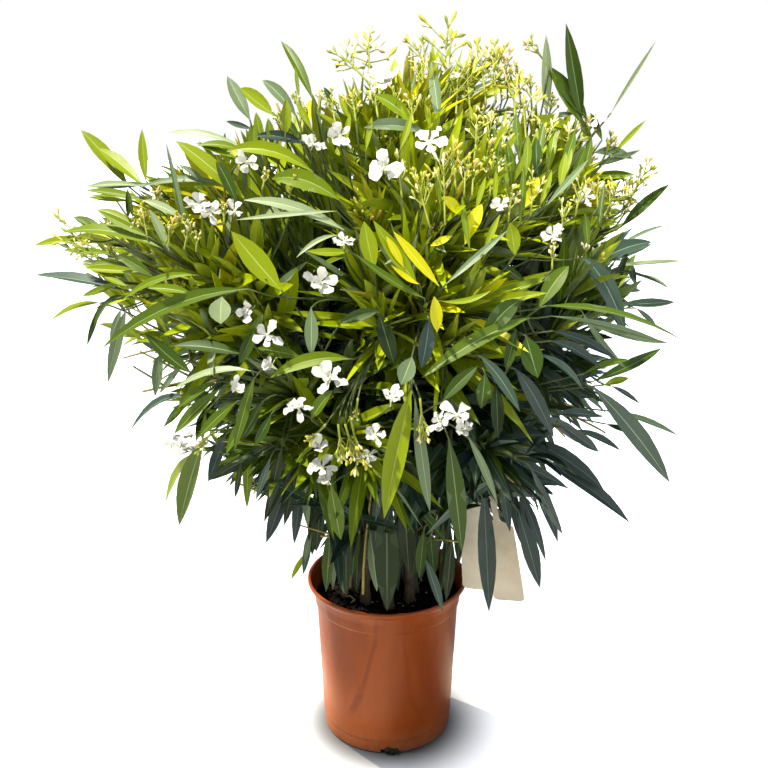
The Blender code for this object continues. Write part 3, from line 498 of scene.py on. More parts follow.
def make_piece(name, points, faces, materials, slot, kinds=None, uvs=None, replaced=()):
    """A mesh from arrays: faces (m, 4) hold vertex numbers, and a triangle's last one is -1."""
    mesh = bpy.data.meshes.new(name)
    corners = faces[faces >= 0].astype(np.int32)
    counts = (faces >= 0).sum(1)
    mesh.vertices.add(len(points))
    mesh.vertices.foreach_set("co", np.asarray(points, np.float32).ravel())
    mesh.loops.add(len(corners))
    mesh.loops.foreach_set("vertex_index", corners)
    mesh.polygons.add(len(faces))
    mesh.polygons.foreach_set("loop_start", np.concatenate(([0], np.cumsum(counts)[:-1])).astype(np.int32))
    if uvs is not None:
        layer = mesh.uv_layers.new(name="surface")
        layer.data.foreach_set("uv", np.asarray(uvs, np.float32)[corners].ravel())
    for material in materials:
        mesh.materials.append(material)
    if kinds is not None:
        mesh.polygons.foreach_set("material_index", np.asarray(kinds, np.int32))
    mesh.polygons.foreach_set("use_smooth", np.ones(len(faces), bool))
    mesh.update(calc_edges=True)
    mesh.validate()
    piece = placed(name, mesh)
    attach(piece, "root")
    if replaced:
        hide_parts(*replaced)
    return piece


def repeated(faces, count, size):
    """The same faces for each of count copies, whose points follow one another size at a time."""
    shifted = faces[None] + (np.arange(count) * size)[:, None, None]
    return np.where(faces[None] < 0, -1, shifted).reshape(-1, 4)


def tube_faces(stations, sides):
    """Faces of one closed tube: its rings, then the two end points that its end fans meet in."""
    k, i = np.meshgrid(np.arange(stations - 1), np.arange(sides), indexing="ij")
    j = (i + 1) % sides
    wall = np.stack((k * sides + i, k * sides + j, (k + 1) * sides + j, (k + 1) * sides + i), -1)
    i = np.arange(sides)
    j = (i + 1) % sides
    none = np.full(sides, -1)
    last = (stations - 1) * sides
    foot = np.stack((np.full(sides, stations * sides), j, i, none), -1)
    tip = np.stack((np.full(sides, stations * sides + 1), last + i, last + j, none), -1)
    return np.concatenate((wall.reshape(-1, 4), foot, tip))


def tubes(paths, radii, sides):
    """Points and faces of closed tubes along paths (n, stations, 3).

    Each ring is the path's point plus radius times the circle of two directions square to the path,
    carried along it without twist. radii is (n, stations) or (n, stations, sides).
    """
    paths = np.asarray(paths, float)
    count, stations, _ = paths.shape
    radii = np.asarray(radii, float)
    if radii.ndim == 2:
        radii = radii[:, :, None]
    ways = unit(np.gradient(paths, axis=1))
    least = np.eye(3)[np.argmin(np.abs(ways[:, 0]), axis=1)]
    side = unit(np.cross(ways[:, 0], least))
    rings = np.empty((count, stations, sides, 3))
    angle = 2 * np.pi * np.arange(sides) / sides
    for k in range(stations):
        side = unit(across(side, ways[:, k]))
        beside = np.cross(ways[:, k], side)
        rings[:, k] = side[:, None] * np.cos(angle)[:, None] + beside[:, None] * np.sin(angle)[:, None]
    points = paths[:, :, None] + radii[..., None] * rings
    points = np.concatenate((points.reshape(count, -1, 3), paths[:, :1], paths[:, -1:]), 1)
    size = stations * sides + 2
    return points.reshape(-1, 3), repeated(tube_faces(stations, sides), count, size)


def gathered(groups):
    """Several (points, faces) joined into one."""
    points, faces, base = [], [], 0
    for some_points, some_faces in groups:
        points.append(some_points)
        faces.append(np.where(some_faces < 0, -1, some_faces + base))
        base += len(some_points)
    return np.concatenate(points), np.concatenate(faces)


# ---- blades: leaves and petals -----------------------------------------------------------------

BLADE_COLUMNS = 4  # left edge, the two edges of the midrib, right edge


def blade_layout(stations):
    """Faces and their kinds of one closed blade of two sheets.

    Kind 0 is the upper side of a half, 1 the midrib and 2 the underside. Each sheet has four points
    at each station and one at the tip.
    """
    sheet = (stations - 1) * BLADE_COLUMNS + 1
    faces, kinds = [], []
    for k in range(stations - 2):
        for c in range(BLADE_COLUMNS - 1):
            a = k * BLADE_COLUMNS + c
            faces.append((a, a + 1, a + 1 + BLADE_COLUMNS, a + BLADE_COLUMNS))
            kinds.append(1 if c == 1 else 0)
    last = (stations - 2) * BLADE_COLUMNS
    for c in range(BLADE_COLUMNS - 1):
        faces.append((last + c, last + c + 1, sheet - 1, -1))
        kinds.append(1 if c == 1 else 0)
    upper = np.array(faces)
    under = upper[:, [1, 0, 3, 2]] + sheet
    fans = upper[:, 3] < 0
    under[fans] = upper[fans][:, [1, 0, 2, 3]] + np.array((sheet, sheet, sheet, 0))
    return np.concatenate((upper, under)), np.array(kinds + [2] * len(kinds))


def blades(seeds, stations, outline, rib=0.06, thick=0.0007):
    """Points of closed blades, one for each seed, as (n, points, 3).

    A blade's midline is foot + length * (s * way + s^2 * bend). Its half width is the outline's, the
    halves rise from the midrib by fold times it, and a section turns about the midline by twist * s.
    The underside meets the upper side at the edges and hangs below it by the blade's thickness along
    the midrib.
    """
    s = np.asarray(stations)[None, :, None]
    foot, way = seeds["foot"][:, None], seeds["way"][:, None]
    length = seeds["length"][:, None, None]
    face = unit(across(seeds["face"], seeds["way"]))[:, None]
    bend = seeds["bend"][:, None]
    mid = foot + length * (s * way + s**2 * bend)
    run = unit(way + 2 * s * bend)
    flat = unit(np.cross(run, face))
    rise = np.cross(flat, run)
    turn = seeds["twist"][:, None, None] * s
    flat, rise = np.cos(turn) * flat + np.sin(turn) * rise, np.cos(turn) * rise - np.sin(turn) * flat
    half = 0.5 * seeds["width"][:, None] * np.asarray(outline)[None]
    u = np.array((-1.0, -rib, rib, 1.0))
    waves = np.sin(2 * np.pi * (2.3 * np.asarray(stations)[None] + seeds["phase"][:, None]))
    ripple = seeds["ripple"][:, None] * waves
    lift = half[..., None] * (seeds["fold"][:, None, None] + ripple[..., None] * np.sign(u)) * np.abs(u)
    upper = mid[:, :, None] - flat[:, :, None] * (half[..., None] * u)[..., None]
    upper = upper + rise[:, :, None] * lift[..., None]
    depth = thick * np.sqrt(np.clip(s * (1 - s) * 4, 0, 1)) * np.array((0.0, 1.0, 1.0, 0.0))
    under = upper - rise[:, :, None] * depth[..., None]
    count = len(upper)
    sheets = []
    for sheet in (upper, under):
        body = sheet[:, :-1].reshape(count, -1, 3)
        sheets.append(np.concatenate((body, mid[:, -1:]), 1))
    return np.concatenate(sheets, 1)


def blade_surface(stations):
    """Surface coordinates of one blade's points: across from 0 to 1, and along from 0 to 1."""
    u = np.array((0.0, 0.46, 0.54, 1.0))
    grid = np.stack(np.meshgrid(u, np.asarray(stations)[:-1], indexing="xy"), -1).reshape(-1, 2)
    sheet = np.concatenate((grid, ((0.5, 1.0),)))
    return np.concatenate((sheet, sheet))


def put_blades(name, seeds, stations, outline, materials, slot, rib=0.06, thick=0.0007):
    """One joined piece of blades."""
    points = blades(seeds, stations, outline, rib, thick)
    faces, kinds = blade_layout(len(stations))
    count, size, _ = points.shape
    faces, kinds = repeated(faces, count, size), np.tile(kinds, count)
    uvs = np.tile(blade_surface(stations), (count, 1))
    make_piece(name, points.reshape(-1, 3), faces, materials, slot, kinds, uvs)


def picked(seeds, chosen):
    """The chosen ones of a set of seeds."""
    return {key: value[chosen] for key, value in seeds.items()}


def joined_seeds(sets):
    """Several sets of seeds as one."""
    return {key: np.concatenate([s[key] for s in sets]) for key in sets[0]}


# ---- shader node helpers -----------------------------------------------------------------------

GREY = (0.5, 0.5, 0.5)


def feed(tree, node, inputs):
    """Set a node's inputs to numbers and colours, or link them from other nodes' sockets."""
    for key, value in inputs.items():
        socket = node.inputs[key]
        if isinstance(value, bpy.types.NodeSocket):
            tree.links.new(value, socket)
        else:
            socket.default_value = (*value, 1.0) if socket.type == "RGBA" else value


def put(tree, kind, inputs, **settings):
    """A shader node with its settings and inputs."""
    node = tree.nodes.new("ShaderNode" + kind)
    for key, value in settings.items():
        setattr(node, key, value)
    feed(tree, node, inputs)
    return node


def maths(tree, operation, *operands):
    """A Math node's output, whose operands are numbers or sockets."""
    return put(tree, "Math", dict(enumerate(operands)), operation=operation).outputs[0]


def noise(tree, place, scale, detail, roughness=0.5):
    """Soft noise between 0 and 1."""
    inputs = {"Vector": place, "Scale": scale, "Detail": detail, "Roughness": roughness}
    return put(tree, "TexNoise", inputs).outputs["Fac"]


def ramp(tree, value, low, high, start=0.0, end=1.0, kind="LINEAR"):
    """A value's way from low to high, carried over to start and end and held past them."""
    inputs = {"Value": value, "From Min": low, "From Max": high, "To Min": start, "To Max": end}
    return put(tree, "MapRange", inputs, interpolation_type=kind).outputs["Result"]


def blend(tree, share, first, second):
    """Two colours mixed: the first at a share of 0, the second at 1."""
    return put(tree, "Mix", {0: share, 6: first, 7: second}, data_type="RGBA").outputs[2]


def parts(tree, vector):
    """The three coordinates of a vector."""
    return put(tree, "SeparateXYZ", {0: vector}).outputs


def new_group(name, output, **defaults):
    """A shader node group, the sockets that it is given and the socket of its one output.

    A default of None stands for a place, a number for a value and a tuple for a colour.
    """
    tree = bpy.data.node_groups.new(name, "ShaderNodeTree")
    kinds = {type(None): "NodeSocketVector", float: "NodeSocketFloat", tuple: "NodeSocketColor"}
    for label, value in defaults.items():
        socket = tree.interface.new_socket(name=label, in_out="INPUT", socket_type=kinds[type(value)])
        if isinstance(value, float):
            socket.default_value = value
    kind = "NodeSocketColor" if output == "Colour" else "NodeSocketFloat"
    tree.interface.new_socket(name=output, in_out="OUTPUT", socket_type=kind)
    return tree, tree.nodes.new("NodeGroupInput").outputs, tree.nodes.new("NodeGroupOutput").inputs[0]


def mottle_group():
    """Two colours mixed by soft noise at one place on the piece."""
    tree, given, end = new_group(
        "mottle", "Colour", Vector=None, First=GREY, Second=GREY, Scale=20.0, Low=0.35, High=0.65
    )
    cloud = noise(tree, given["Vector"], given["Scale"], 4.0, 0.6)
    share = ramp(tree, cloud, given["Low"], given["High"], kind="SMOOTHSTEP")
    tree.links.new(blend(tree, share, given["First"], given["Second"]), end)
    return tree


def grime_group():
    """A clean colour soiled towards the ground: most at the height Low, and not at all above High."""
    tree, given, end = new_group(
        "grime", "Colour",
        Vector=None, Clean=GREY, Soil=GREY, Low=0.0, High=0.1, Most=0.5, Scale=60.0, Detail=4.0,
    )
    depth = ramp(tree, parts(tree, given["Vector"])[2], given["Low"], given["High"], given["Most"], 0.0)
    cloud = noise(tree, given["Vector"], given["Scale"], given["Detail"])
    share = maths(tree, "MULTIPLY", depth, cloud)
    tree.links.new(blend(tree, share, given["Clean"], given["Soil"]), end)
    return tree


def drift_group():
    """A value that drifts softly between Low and High over the piece."""
    tree, given, end = new_group("drift", "Value", Vector=None, Scale=30.0, Low=0.3, High=0.5)
    cloud = noise(tree, given["Vector"], given["Scale"], 3.0)
    tree.links.new(ramp(tree, cloud, 0.3, 0.7, given["Low"], given["High"]), end)
    return tree


def relief_group():
    """Height of two sizes of fine noise, for bumps."""
    tree, given, end = new_group("relief", "Height", Vector=None, Coarse=60.0, Fine=400.0, Share=0.4)
    coarse = noise(tree, given["Vector"], given["Coarse"], 3.0)
    fine = noise(tree, given["Vector"], given["Fine"], 2.0)
    tree.links.new(maths(tree, "ADD", coarse, maths(tree, "MULTIPLY", fine, given["Share"])), end)
    return tree


def vein_group():
    """Height of the fine parallel veins that run out from the midrib towards the tip."""
    tree, given, end = new_group("veins", "Height", Along=46.0, Slant=0.16)
    aside, along, _ = parts(tree, put(tree, "UVMap", {}, uv_map="surface").outputs[0])
    off = maths(tree, "ABSOLUTE", maths(tree, "SUBTRACT", aside, 0.5))
    place = maths(tree, "SUBTRACT", along, maths(tree, "MULTIPLY", off, given["Slant"]))
    turn = maths(tree, "MULTIPLY", maths(tree, "MULTIPLY", place, given["Along"]), 2 * math.pi)
    wave = maths(tree, "MULTIPLY", maths(tree, "SINE", turn), 0.5)
    tree.links.new(maths(tree, "ADD", wave, maths(tree, "MULTIPLY", off, 3.0)), end)
    return tree


GROUPS = {
    "mottle": mottle_group(),
    "grime": grime_group(),
    "drift": drift_group(),
    "relief": relief_group(),
    "veins": vein_group(),
}


def shared(tree, name, **inputs):
    """The output of one of the shared groups, placed in a material with its own values."""
    return put(tree, "Group", inputs, node_tree=GROUPS[name]).outputs[0]


def new_finish(name, colour=GREY, roughness=0.5, gloss=0.5):
    """A material, its node tree and its Principled shader, with the shader's own constants."""
    material = bpy.data.materials.new(name)
    material.use_nodes = True
    tree = material.node_tree
    shader = tree.nodes["Principled BSDF"]
    feed(tree, shader, {"Base Color": colour, "Roughness": roughness, "Specular IOR Level": gloss})
    return material, tree, shader


def object_place(tree, scale=(1.0, 1.0, 1.0)):
    """Object coordinates through a Mapping node, so that a pattern can be stretched."""
    place = put(tree, "TexCoord", {}).outputs["Object"]
    return put(tree, "Mapping", {"Vector": place, "Scale": scale}).outputs["Vector"]


def bump(tree, shader, height, distance, strength):
    """A Bump node from a height to the shader's Normal."""
    node = put(tree, "Bump", {"Strength": strength, "Distance": distance, "Height": height})
    feed(tree, shader, {"Normal": node.outputs["Normal"]})


# ---- finishes ----------------------------------------------------------------------------------

# upper side, midrib and underside of each tone of leaf, from the youngest and sunniest to the
# blue-green of deep shade: beyond the leaves' own age and sides, the tones are painted sunlight and
# shade, lit and shaded copies of one leaf's colour
TONES = {
    "golden": ((0.54, 0.52, 0.002), (0.60, 0.57, 0.08), (0.48, 0.46, 0.03)),
    "lime": ((0.325, 0.405, 0.001), (0.38, 0.44, 0.05), (0.29, 0.35, 0.02)),
    "sunny": ((0.205, 0.265, 0.001), (0.31, 0.37, 0.05), (0.24, 0.30, 0.03)),
    "grass": ((0.140, 0.205, 0.002), (0.26, 0.34, 0.07), (0.18, 0.24, 0.04)),
    "leaf": ((0.074, 0.124, 0.003), (0.19, 0.27, 0.07), (0.12, 0.17, 0.05)),
    "deep": ((0.038, 0.074, 0.006), (0.14, 0.21, 0.07), (0.085, 0.13, 0.05)),
    "shade": ((0.013, 0.026, 0.004), (0.06, 0.10, 0.04), (0.035, 0.055, 0.022)),
    "sea": ((0.038, 0.074, 0.047), (0.18, 0.26, 0.17), (0.11, 0.17, 0.12)),
    "ink": ((0.014, 0.032, 0.026), (0.07, 0.12, 0.09), (0.038, 0.064, 0.055)),
    "sage": ((0.13, 0.19, 0.085), (0.30, 0.37, 0.20), (0.18, 0.24, 0.13)),
    "silver": ((0.26, 0.33, 0.16), (0.42, 0.49, 0.28), (0.26, 0.33, 0.18)),
}

COOL_TONES = ("sea", "ink", "sage", "silver")  # whose upper sides shine more


def leaf_finishes(tone):
    """Leathery upper side with fine veins, pale midrib and matt, paler underside."""
    upper, rib, under = TONES[tone]
    top, tree, shader = new_finish(f"leaf_{tone}", upper, 0.40, 0.45 if tone in COOL_TONES else 0.22)
    bump(tree, shader, shared(tree, "veins"), 0.0005, 0.15)
    drift = shared(tree, "drift", Vector=object_place(tree), Scale=30.0, Low=0.33, High=0.50)
    feed(tree, shader, {"Roughness": drift})
    line, _, _ = new_finish(f"midrib_{tone}", rib, 0.48)
    below, tree, shader = new_finish(f"leaf_underside_{tone}", under, 0.62, 0.2)
    bump(tree, shader, shared(tree, "veins", Along=30.0), 0.0005, 0.4)
    return top, line, below


def bark_finish(name, foot_colours, top_colours, low, high):
    """Bark that turns from brown at the foot to olive green further up, dotted with pale pores."""
    material, tree, shader = new_finish(name, roughness=0.7)
    place = object_place(tree)
    lower, upper = (
        shared(tree, "mottle", Vector=place, First=first, Second=second, Scale=scale)
        for (first, second), scale in ((foot_colours, 90.0), (top_colours, 60.0))
    )
    bark = blend(tree, ramp(tree, parts(tree, place)[2], low, high), lower, upper)
    pores = put(tree, "TexVoronoi", {"Vector": place, "Scale": 260.0}).outputs["Distance"]
    dotted = blend(tree, ramp(tree, pores, 0.10, 0.22, 0.45, 0.0), bark, (0.30, 0.27, 0.19))
    feed(tree, shader, {"Base Color": dotted})
    stretched = object_place(tree, (1.0, 1.0, 0.25))
    bump(tree, shader, shared(tree, "relief", Vector=stretched, Coarse=120.0, Fine=700.0), 0.0012, 0.6)
    return material


def petal_finish():
    """Thin white petals, mottled with a breath of cream."""
    material, tree, shader = new_finish("white_petal", roughness=0.55)
    cream, white = (0.60, 0.60, 0.53), (0.72, 0.72, 0.66)
    colour = shared(tree, "mottle", Vector=object_place(tree), First=cream, Second=white, Scale=60.0)
    feed(tree, shader, {"Base Color": colour})
    bump(tree, shader, shared(tree, "veins", Along=2.0, Slant=9.0), 0.0006, 0.3)
    return material


def soft_finish(name, first, second, roughness, scale=80.0):
    """Plain plant tissue in two close colours."""
    material, tree, shader = new_finish(name, roughness=roughness)
    place = object_place(tree)
    colour = shared(tree, "mottle", Vector=place, First=first, Second=second, Scale=scale)
    feed(tree, shader, {"Base Color": colour})
    bump(tree, shader, shared(tree, "relief", Vector=place, Coarse=200.0, Fine=900.0), 0.0004, 0.4)
    return material


# azimuth of the top, lean, half width, foot and top height, and depth of the dark streaks on the pot: painted
# shadows of leaves and stems
POT_PAINTED_SHADOWS = (
    (-98.0, -30.0, 2.2, 0.188, 0.238, 0.60),
    (-99.5, -135.0, 2.6, 0.094, 0.195, 0.75),
    (-113.5, -240.0, 5.5, 0.050, 0.100, 1.00),
    (-77.8, 30.0, 2.2, 0.168, 0.236, 0.50),
    (-75.8, 62.0, 2.8, 0.095, 0.180, 0.55),
    (-71.0, 240.0, 4.0, 0.032, 0.100, 0.55),
    (-60.0, 60.0, 11.0, 0.050, 0.190, 0.45),
    (62.0, 60.0, 2.5, 0.050, 0.220, 0.40),
    (150.0, -50.0, 3.5, 0.040, 0.200, 0.35),
)


def painted_shadow_mask(tree, place, azimuth, lean, width, low, high):
    """A soft vertical streak of painted shadow on the pot's wall: 1 on its middle line, 0 a width away and
    past its ends.

    The middle line's azimuth is azimuth + lean * (high - height), in degrees and metres.
    """
    x, y, z = parts(tree, place)
    turn = maths(tree, "DEGREES", maths(tree, "ARCTAN2", y, x))
    line = maths(tree, "ADD", maths(tree, "MULTIPLY", maths(tree, "SUBTRACT", high, z), lean), azimuth)
    off = maths(tree, "ABSOLUTE", maths(tree, "SUBTRACT", turn, line))
    edge = ramp(tree, off, 0.3 * width, width, 1.0, 0.0, "SMOOTHSTEP")
    foot, top = ramp(tree, z, low, low + 0.02), ramp(tree, z, high, high + 0.006, 1.0, 0.0)
    return maths(tree, "MULTIPLY", edge, maths(tree, "MULTIPLY", foot, top))


def pot_finish():
    """Terracotta-coloured plastic with a slight sheen, dark streaks of painted leaf and stem shadow, and dust
    along its foot.
    """
    material, tree, shader = new_finish("terracotta_plastic", roughness=0.3, gloss=0.20)
    shader.inputs["Coat Weight"].default_value = 0.03
    place, stretched = object_place(tree), object_place(tree, (1.0, 1.0, 0.30))
    clean = {"First": (0.266, 0.054, 0.004), "Second": (0.208, 0.038, 0.002), "Low": 0.38, "High": 0.62}
    colour = shared(tree, "mottle", Vector=stretched, Scale=14.0, **clean)
    # painted shadows of leaves and stems: each streak darkens the plastic towards a deeper brown
    for *line, depth in POT_PAINTED_SHADOWS:
        mask = maths(tree, "MULTIPLY", painted_shadow_mask(tree, place, *line), depth)
        colour = blend(tree, mask, colour, (0.175, 0.028, 0.0))
    dust = {"Soil": (0.36, 0.22, 0.14), "Low": 0.0, "High": 0.045, "Most": 0.45}
    colour = shared(tree, "grime", Vector=place, Clean=colour, Scale=55.0, Detail=5.0, **dust)
    drift = shared(tree, "drift", Vector=stretched, Scale=22.0, Low=0.22, High=0.46)
    feed(tree, shader, {"Base Color": colour, "Roughness": drift})
    relief = shared(tree, "relief", Vector=place, Coarse=30.0, Fine=500.0, Share=0.05)
    bump(tree, shader, relief, 0.0010, 0.5)
    return material


def compost_finish():
    """Near-black damp compost with lighter fibres."""
    material, tree, shader = new_finish("damp_compost", roughness=0.95, gloss=0.1)
    place = object_place(tree)
    dark, light = (0.004, 0.002, 0.002), (0.014, 0.009, 0.007)
    colour = shared(tree, "mottle", Vector=place, First=dark, Second=light, Scale=180.0, Low=0.45, High=0.75)
    feed(tree, shader, {"Base Color": colour})
    relief = shared(tree, "relief", Vector=place, Coarse=150.0, Fine=600.0, Share=0.7)
    bump(tree, shader, relief, 0.003, 1.0)
    return material


def label_finish():
    """Cream card with faint fibre and a soiled lower end."""
    material, tree, shader = new_finish("cream_card", roughness=0.75)
    place = object_place(tree)
    dark, light = (0.72, 0.64, 0.48), (0.80, 0.73, 0.58)
    clean = shared(tree, "mottle", Vector=place, First=dark, Second=light, Scale=35.0)
    soil = {"Soil": (0.40, 0.30, 0.17), "Low": 0.215, "High": 0.30, "Most": 0.5}
    colour = shared(tree, "grime", Vector=place, Clean=clean, Scale=70.0, Detail=4.0, **soil)
    feed(tree, shader, {"Base Color": colour})
    bump(tree, shader, shared(tree, "relief", Vector=place, Coarse=300.0, Fine=1400.0), 0.0003, 0.5)
    return material


# ---- the plan of limbs and shoots, by the source's rule and seed -------------------------------


def ring_places(ring):
    """Name, azimuth and elevation of each shoot of a ring."""
    name, count, first, elevation = ring
    return [(f"{name}_{i + 1}", first + 360.0 * i / count, elevation) for i in range(count)]


def at_height(path, height):
    """Point and direction where a path first reaches a height."""
    i = int(np.nonzero((path[:-1, 2] <= height) & (path[1:, 2] >= height))[0][0])
    t = (height - path[i, 2]) / (path[i + 1, 2] - path[i, 2])
    return path[i] + t * (path[i + 1] - path[i]), unit(path[i + 1] - path[i])


def leave_limb(path, height, target):
    """Where a side growth starts on a limb's axis, and the way that it sets off."""
    point, way = at_height(path, height)
    return point, unit(across(target - point, way)), way


def shoot_axis(azimuth, elevation):
    """Start, end and direction of the shoot at an azimuth and elevation of the crown."""
    root, end = (crown_point(azimuth, elevation, share) for share in (ROOT_FRACTION, SHOOT_FRACTION))
    return root, end, unit(end - root)


def stem_line(stem):
    """The stations of a stem's solid: those of its curve, and one where the flared foot ends."""
    return np.insert(cubic(stem, 8), 1, stem[0] + FLARE_HEIGHT * UP, axis=0)


def plan_plant():
    """Curves of the stems and boughs, and the start, direction and end of every shoot.

    The rule, the seed and the order of draws are those of the part's source, so that the finer
    limbs lie where its solids do.
    """
    rng = random.Random(SEED)
    leaders = sorted((p for r in LEADER_RINGS for p in ring_places(r)), key=lambda p: p[1] % 360)
    sides = {r[0]: ring_places(r) for r in BOUGH_RINGS}
    stems, boughs, shoots = {}, {}, []
    for i, (name, azimuth, elevation) in enumerate(leaders):
        elevation += rng.uniform(-3, 3)
        root, end, way = shoot_axis(azimuth, elevation)
        radius = STEM_RING_RADIUS * rng.uniform(0.80, 1.20)
        foot = radius * heading(360.0 * i / STEM_COUNT + rng.uniform(-6, 6)) + COMPOST_LEVEL * UP
        stem = (foot, foot + 0.16 * UP, root - 0.16 * way, root)
        stems[f"stem_{i + 1}"] = stem
        shoots.append((name, root, way, end))
        for ring, places in sides.items():
            name, azimuth, elevation = places[i]
            elevation += rng.uniform(-4, 4)
            root, end, way = shoot_axis(azimuth, elevation)
            start, out, along = leave_limb(stem_line(stem), FORK_HEIGHTS[ring], root)
            knee = start + 0.034 * out + 0.022 * along
            boughs[f"bough_{i + 1}_{ring}"] = (start, knee, root - 0.07 * way, root)
            shoots.append((name, root, way, end))
    for name, azimuth, elevation in ring_places(LOW_RING):
        end = crown_point(azimuth, elevation, SHOOT_FRACTION)
        stem = max(stems.values(), key=lambda s: unit(s[0][:2]) @ heading(azimuth)[:2])
        start, out, _ = leave_limb(stem_line(stem), LOW_SHOOT_HEIGHT, end)
        shoots.append((name, start, out, end))
    return stems, boughs, shoots


# ---- stems and boughs --------------------------------------------------------------------------

LIMB_STATIONS = 72
LIMB_SIDES = 14
# two colours of the foot and two of the top, and the heights between which they change; the
# stems' colours, darker than the boughs', are partly painted shade under the crown
BARK_COLOURS = {
    "stems": (
        ((0.055, 0.040, 0.022), (0.105, 0.080, 0.046)), ((0.13, 0.15, 0.040), (0.20, 0.22, 0.07)), 0.30, 0.56,
    ),
    "boughs": (
        ((0.17, 0.15, 0.055), (0.24, 0.22, 0.09)), ((0.24, 0.29, 0.06), (0.33, 0.37, 0.10)), 0.38, 0.60,
    ),
}


def bark_radii(lengths, radii, rng):
    """Radius of a limb at each station and side.

    The taper is swollen a little at each node, where three leaves once stood, ridged along the
    limb, and roughened by small random waves.
    """
    angle = 2 * np.pi * np.arange(LIMB_SIDES) / LIMB_SIDES
    along = lengths[:, None]
    phase = rng.uniform(0, 2 * np.pi, 6)
    spacing = rng.uniform(0.026, 0.034)
    at_node = np.exp(-(((along / spacing) % 1.0 - 0.5) ** 2) / 0.012)
    scars = 0.5 + 0.5 * np.cos(3 * angle + np.pi * np.floor(along / spacing))
    ridges = 0.030 * np.sin(5 * angle + 30 * along + phase[0])
    ridges = ridges + 0.025 * np.sin(3 * angle - 55 * along + phase[1])
    waves = 0.035 * np.sin(140 * along + 2 * angle + phase[2]) * np.sin(67 * along + phase[3])
    return radii[:, None] * (1 + at_node * (0.05 + 0.13 * scars) + ridges + waves)


def make_limbs(stems, boughs):
    """The stems and the boughs, each kind one joined piece with its bark's relief."""
    rng = np.random.default_rng(SEED)
    share = np.linspace(0, 1, LIMB_STATIONS)
    kinds = (
        ("stems", stems, STEM_FOOT_RADIUS, STEM_TIP_RADIUS, STEM_FLARE_RADIUS, "stem_bark"),
        ("boughs", boughs, BOUGH_FOOT_RADIUS, BOUGH_TIP_RADIUS, 1.3 * BOUGH_FOOT_RADIUS, "bough_bark"),
    )
    for name, limbs, foot, tip, flare, slot in kinds:
        paths, radii = [], []
        for controls in limbs.values():
            path = cubic(controls, LIMB_STATIONS)
            lengths = np.concatenate(([0], np.cumsum(np.linalg.norm(np.diff(path, axis=0), axis=1))))
            taper = foot + share * (tip - foot) + (flare - foot) * np.exp(-lengths / 0.010)
            paths.append(path)
            radii.append(bark_radii(lengths, taper, rng))
        finish = bark_finish(slot, *BARK_COLOURS[name])
        make_piece(name, *tubes(paths, radii, LIMB_SIDES), (finish,), slot, replaced=list(limbs))


# ---- shoots: twigs and the seeds of leaves -----------------------------------------------------

LEADER_WHORLS = (0.10, 0.24, 0.37, 0.50, 0.62, 0.74, 0.86, 0.97)
TWIG_WHORLS = (0.30, 0.50, 0.68, 0.84, 0.98)
TWIG_SHARES = (0.14, 0.26, 0.37, 0.48, 0.59, 0.70, 0.81)
TWIG_LENGTHS = (0.52, 0.56, 0.55, 0.50, 0.46, 0.40, 0.34)
TWIG_ANGLE = 44.0
GOLDEN_TURN = 137.5
INNER_TWIG_SHARES = (0.30, 0.38, 0.47, 0.58, 0.68, 0.78, 0.88, 0.97)
INNER_WHORLS = (0.35, 0.66, 0.97)
TUFTED = ("top", "shoulder", "upper", "side")  # rings whose shoots end in a tuft of young leaves
LEAF_LENGTH = 0.152
LEAF_WIDTH = 0.0176
LEAF_STATIONS = (0.0, 0.05, 0.15, 0.28, 0.43, 0.58, 0.73, 0.87, 1.0)
LEAF_OUTLINE = (0.09, 0.18, 0.50, 0.81, 0.98, 0.99, 0.80, 0.46, 0.0)
CORNER_SHARE = 0.20  # by which the crown stands fuller at its upper right
MOST_SLANT = 0.30  # of a single leaf's length that its tip lies nearer or further than its foot
MOST_SHARE = 1.05  # of the crown's outline that a leaf's tip reaches to
FRONT_SHARE = 1.00  # the same in front, where single leaves stand out further
OUTLINE_MARGIN = 0.13
LEAST_HEIGHT = 0.275
WITHIN_MOUTH = 0.098  # radius of the column in which leaves may hang down to the compost
MOUTH_HEIGHT = 0.234
SKIRT_SHARES = (0.24, 0.32, 0.40, 0.48, 0.56)
LEAST_TWIG_HEIGHT = 0.345


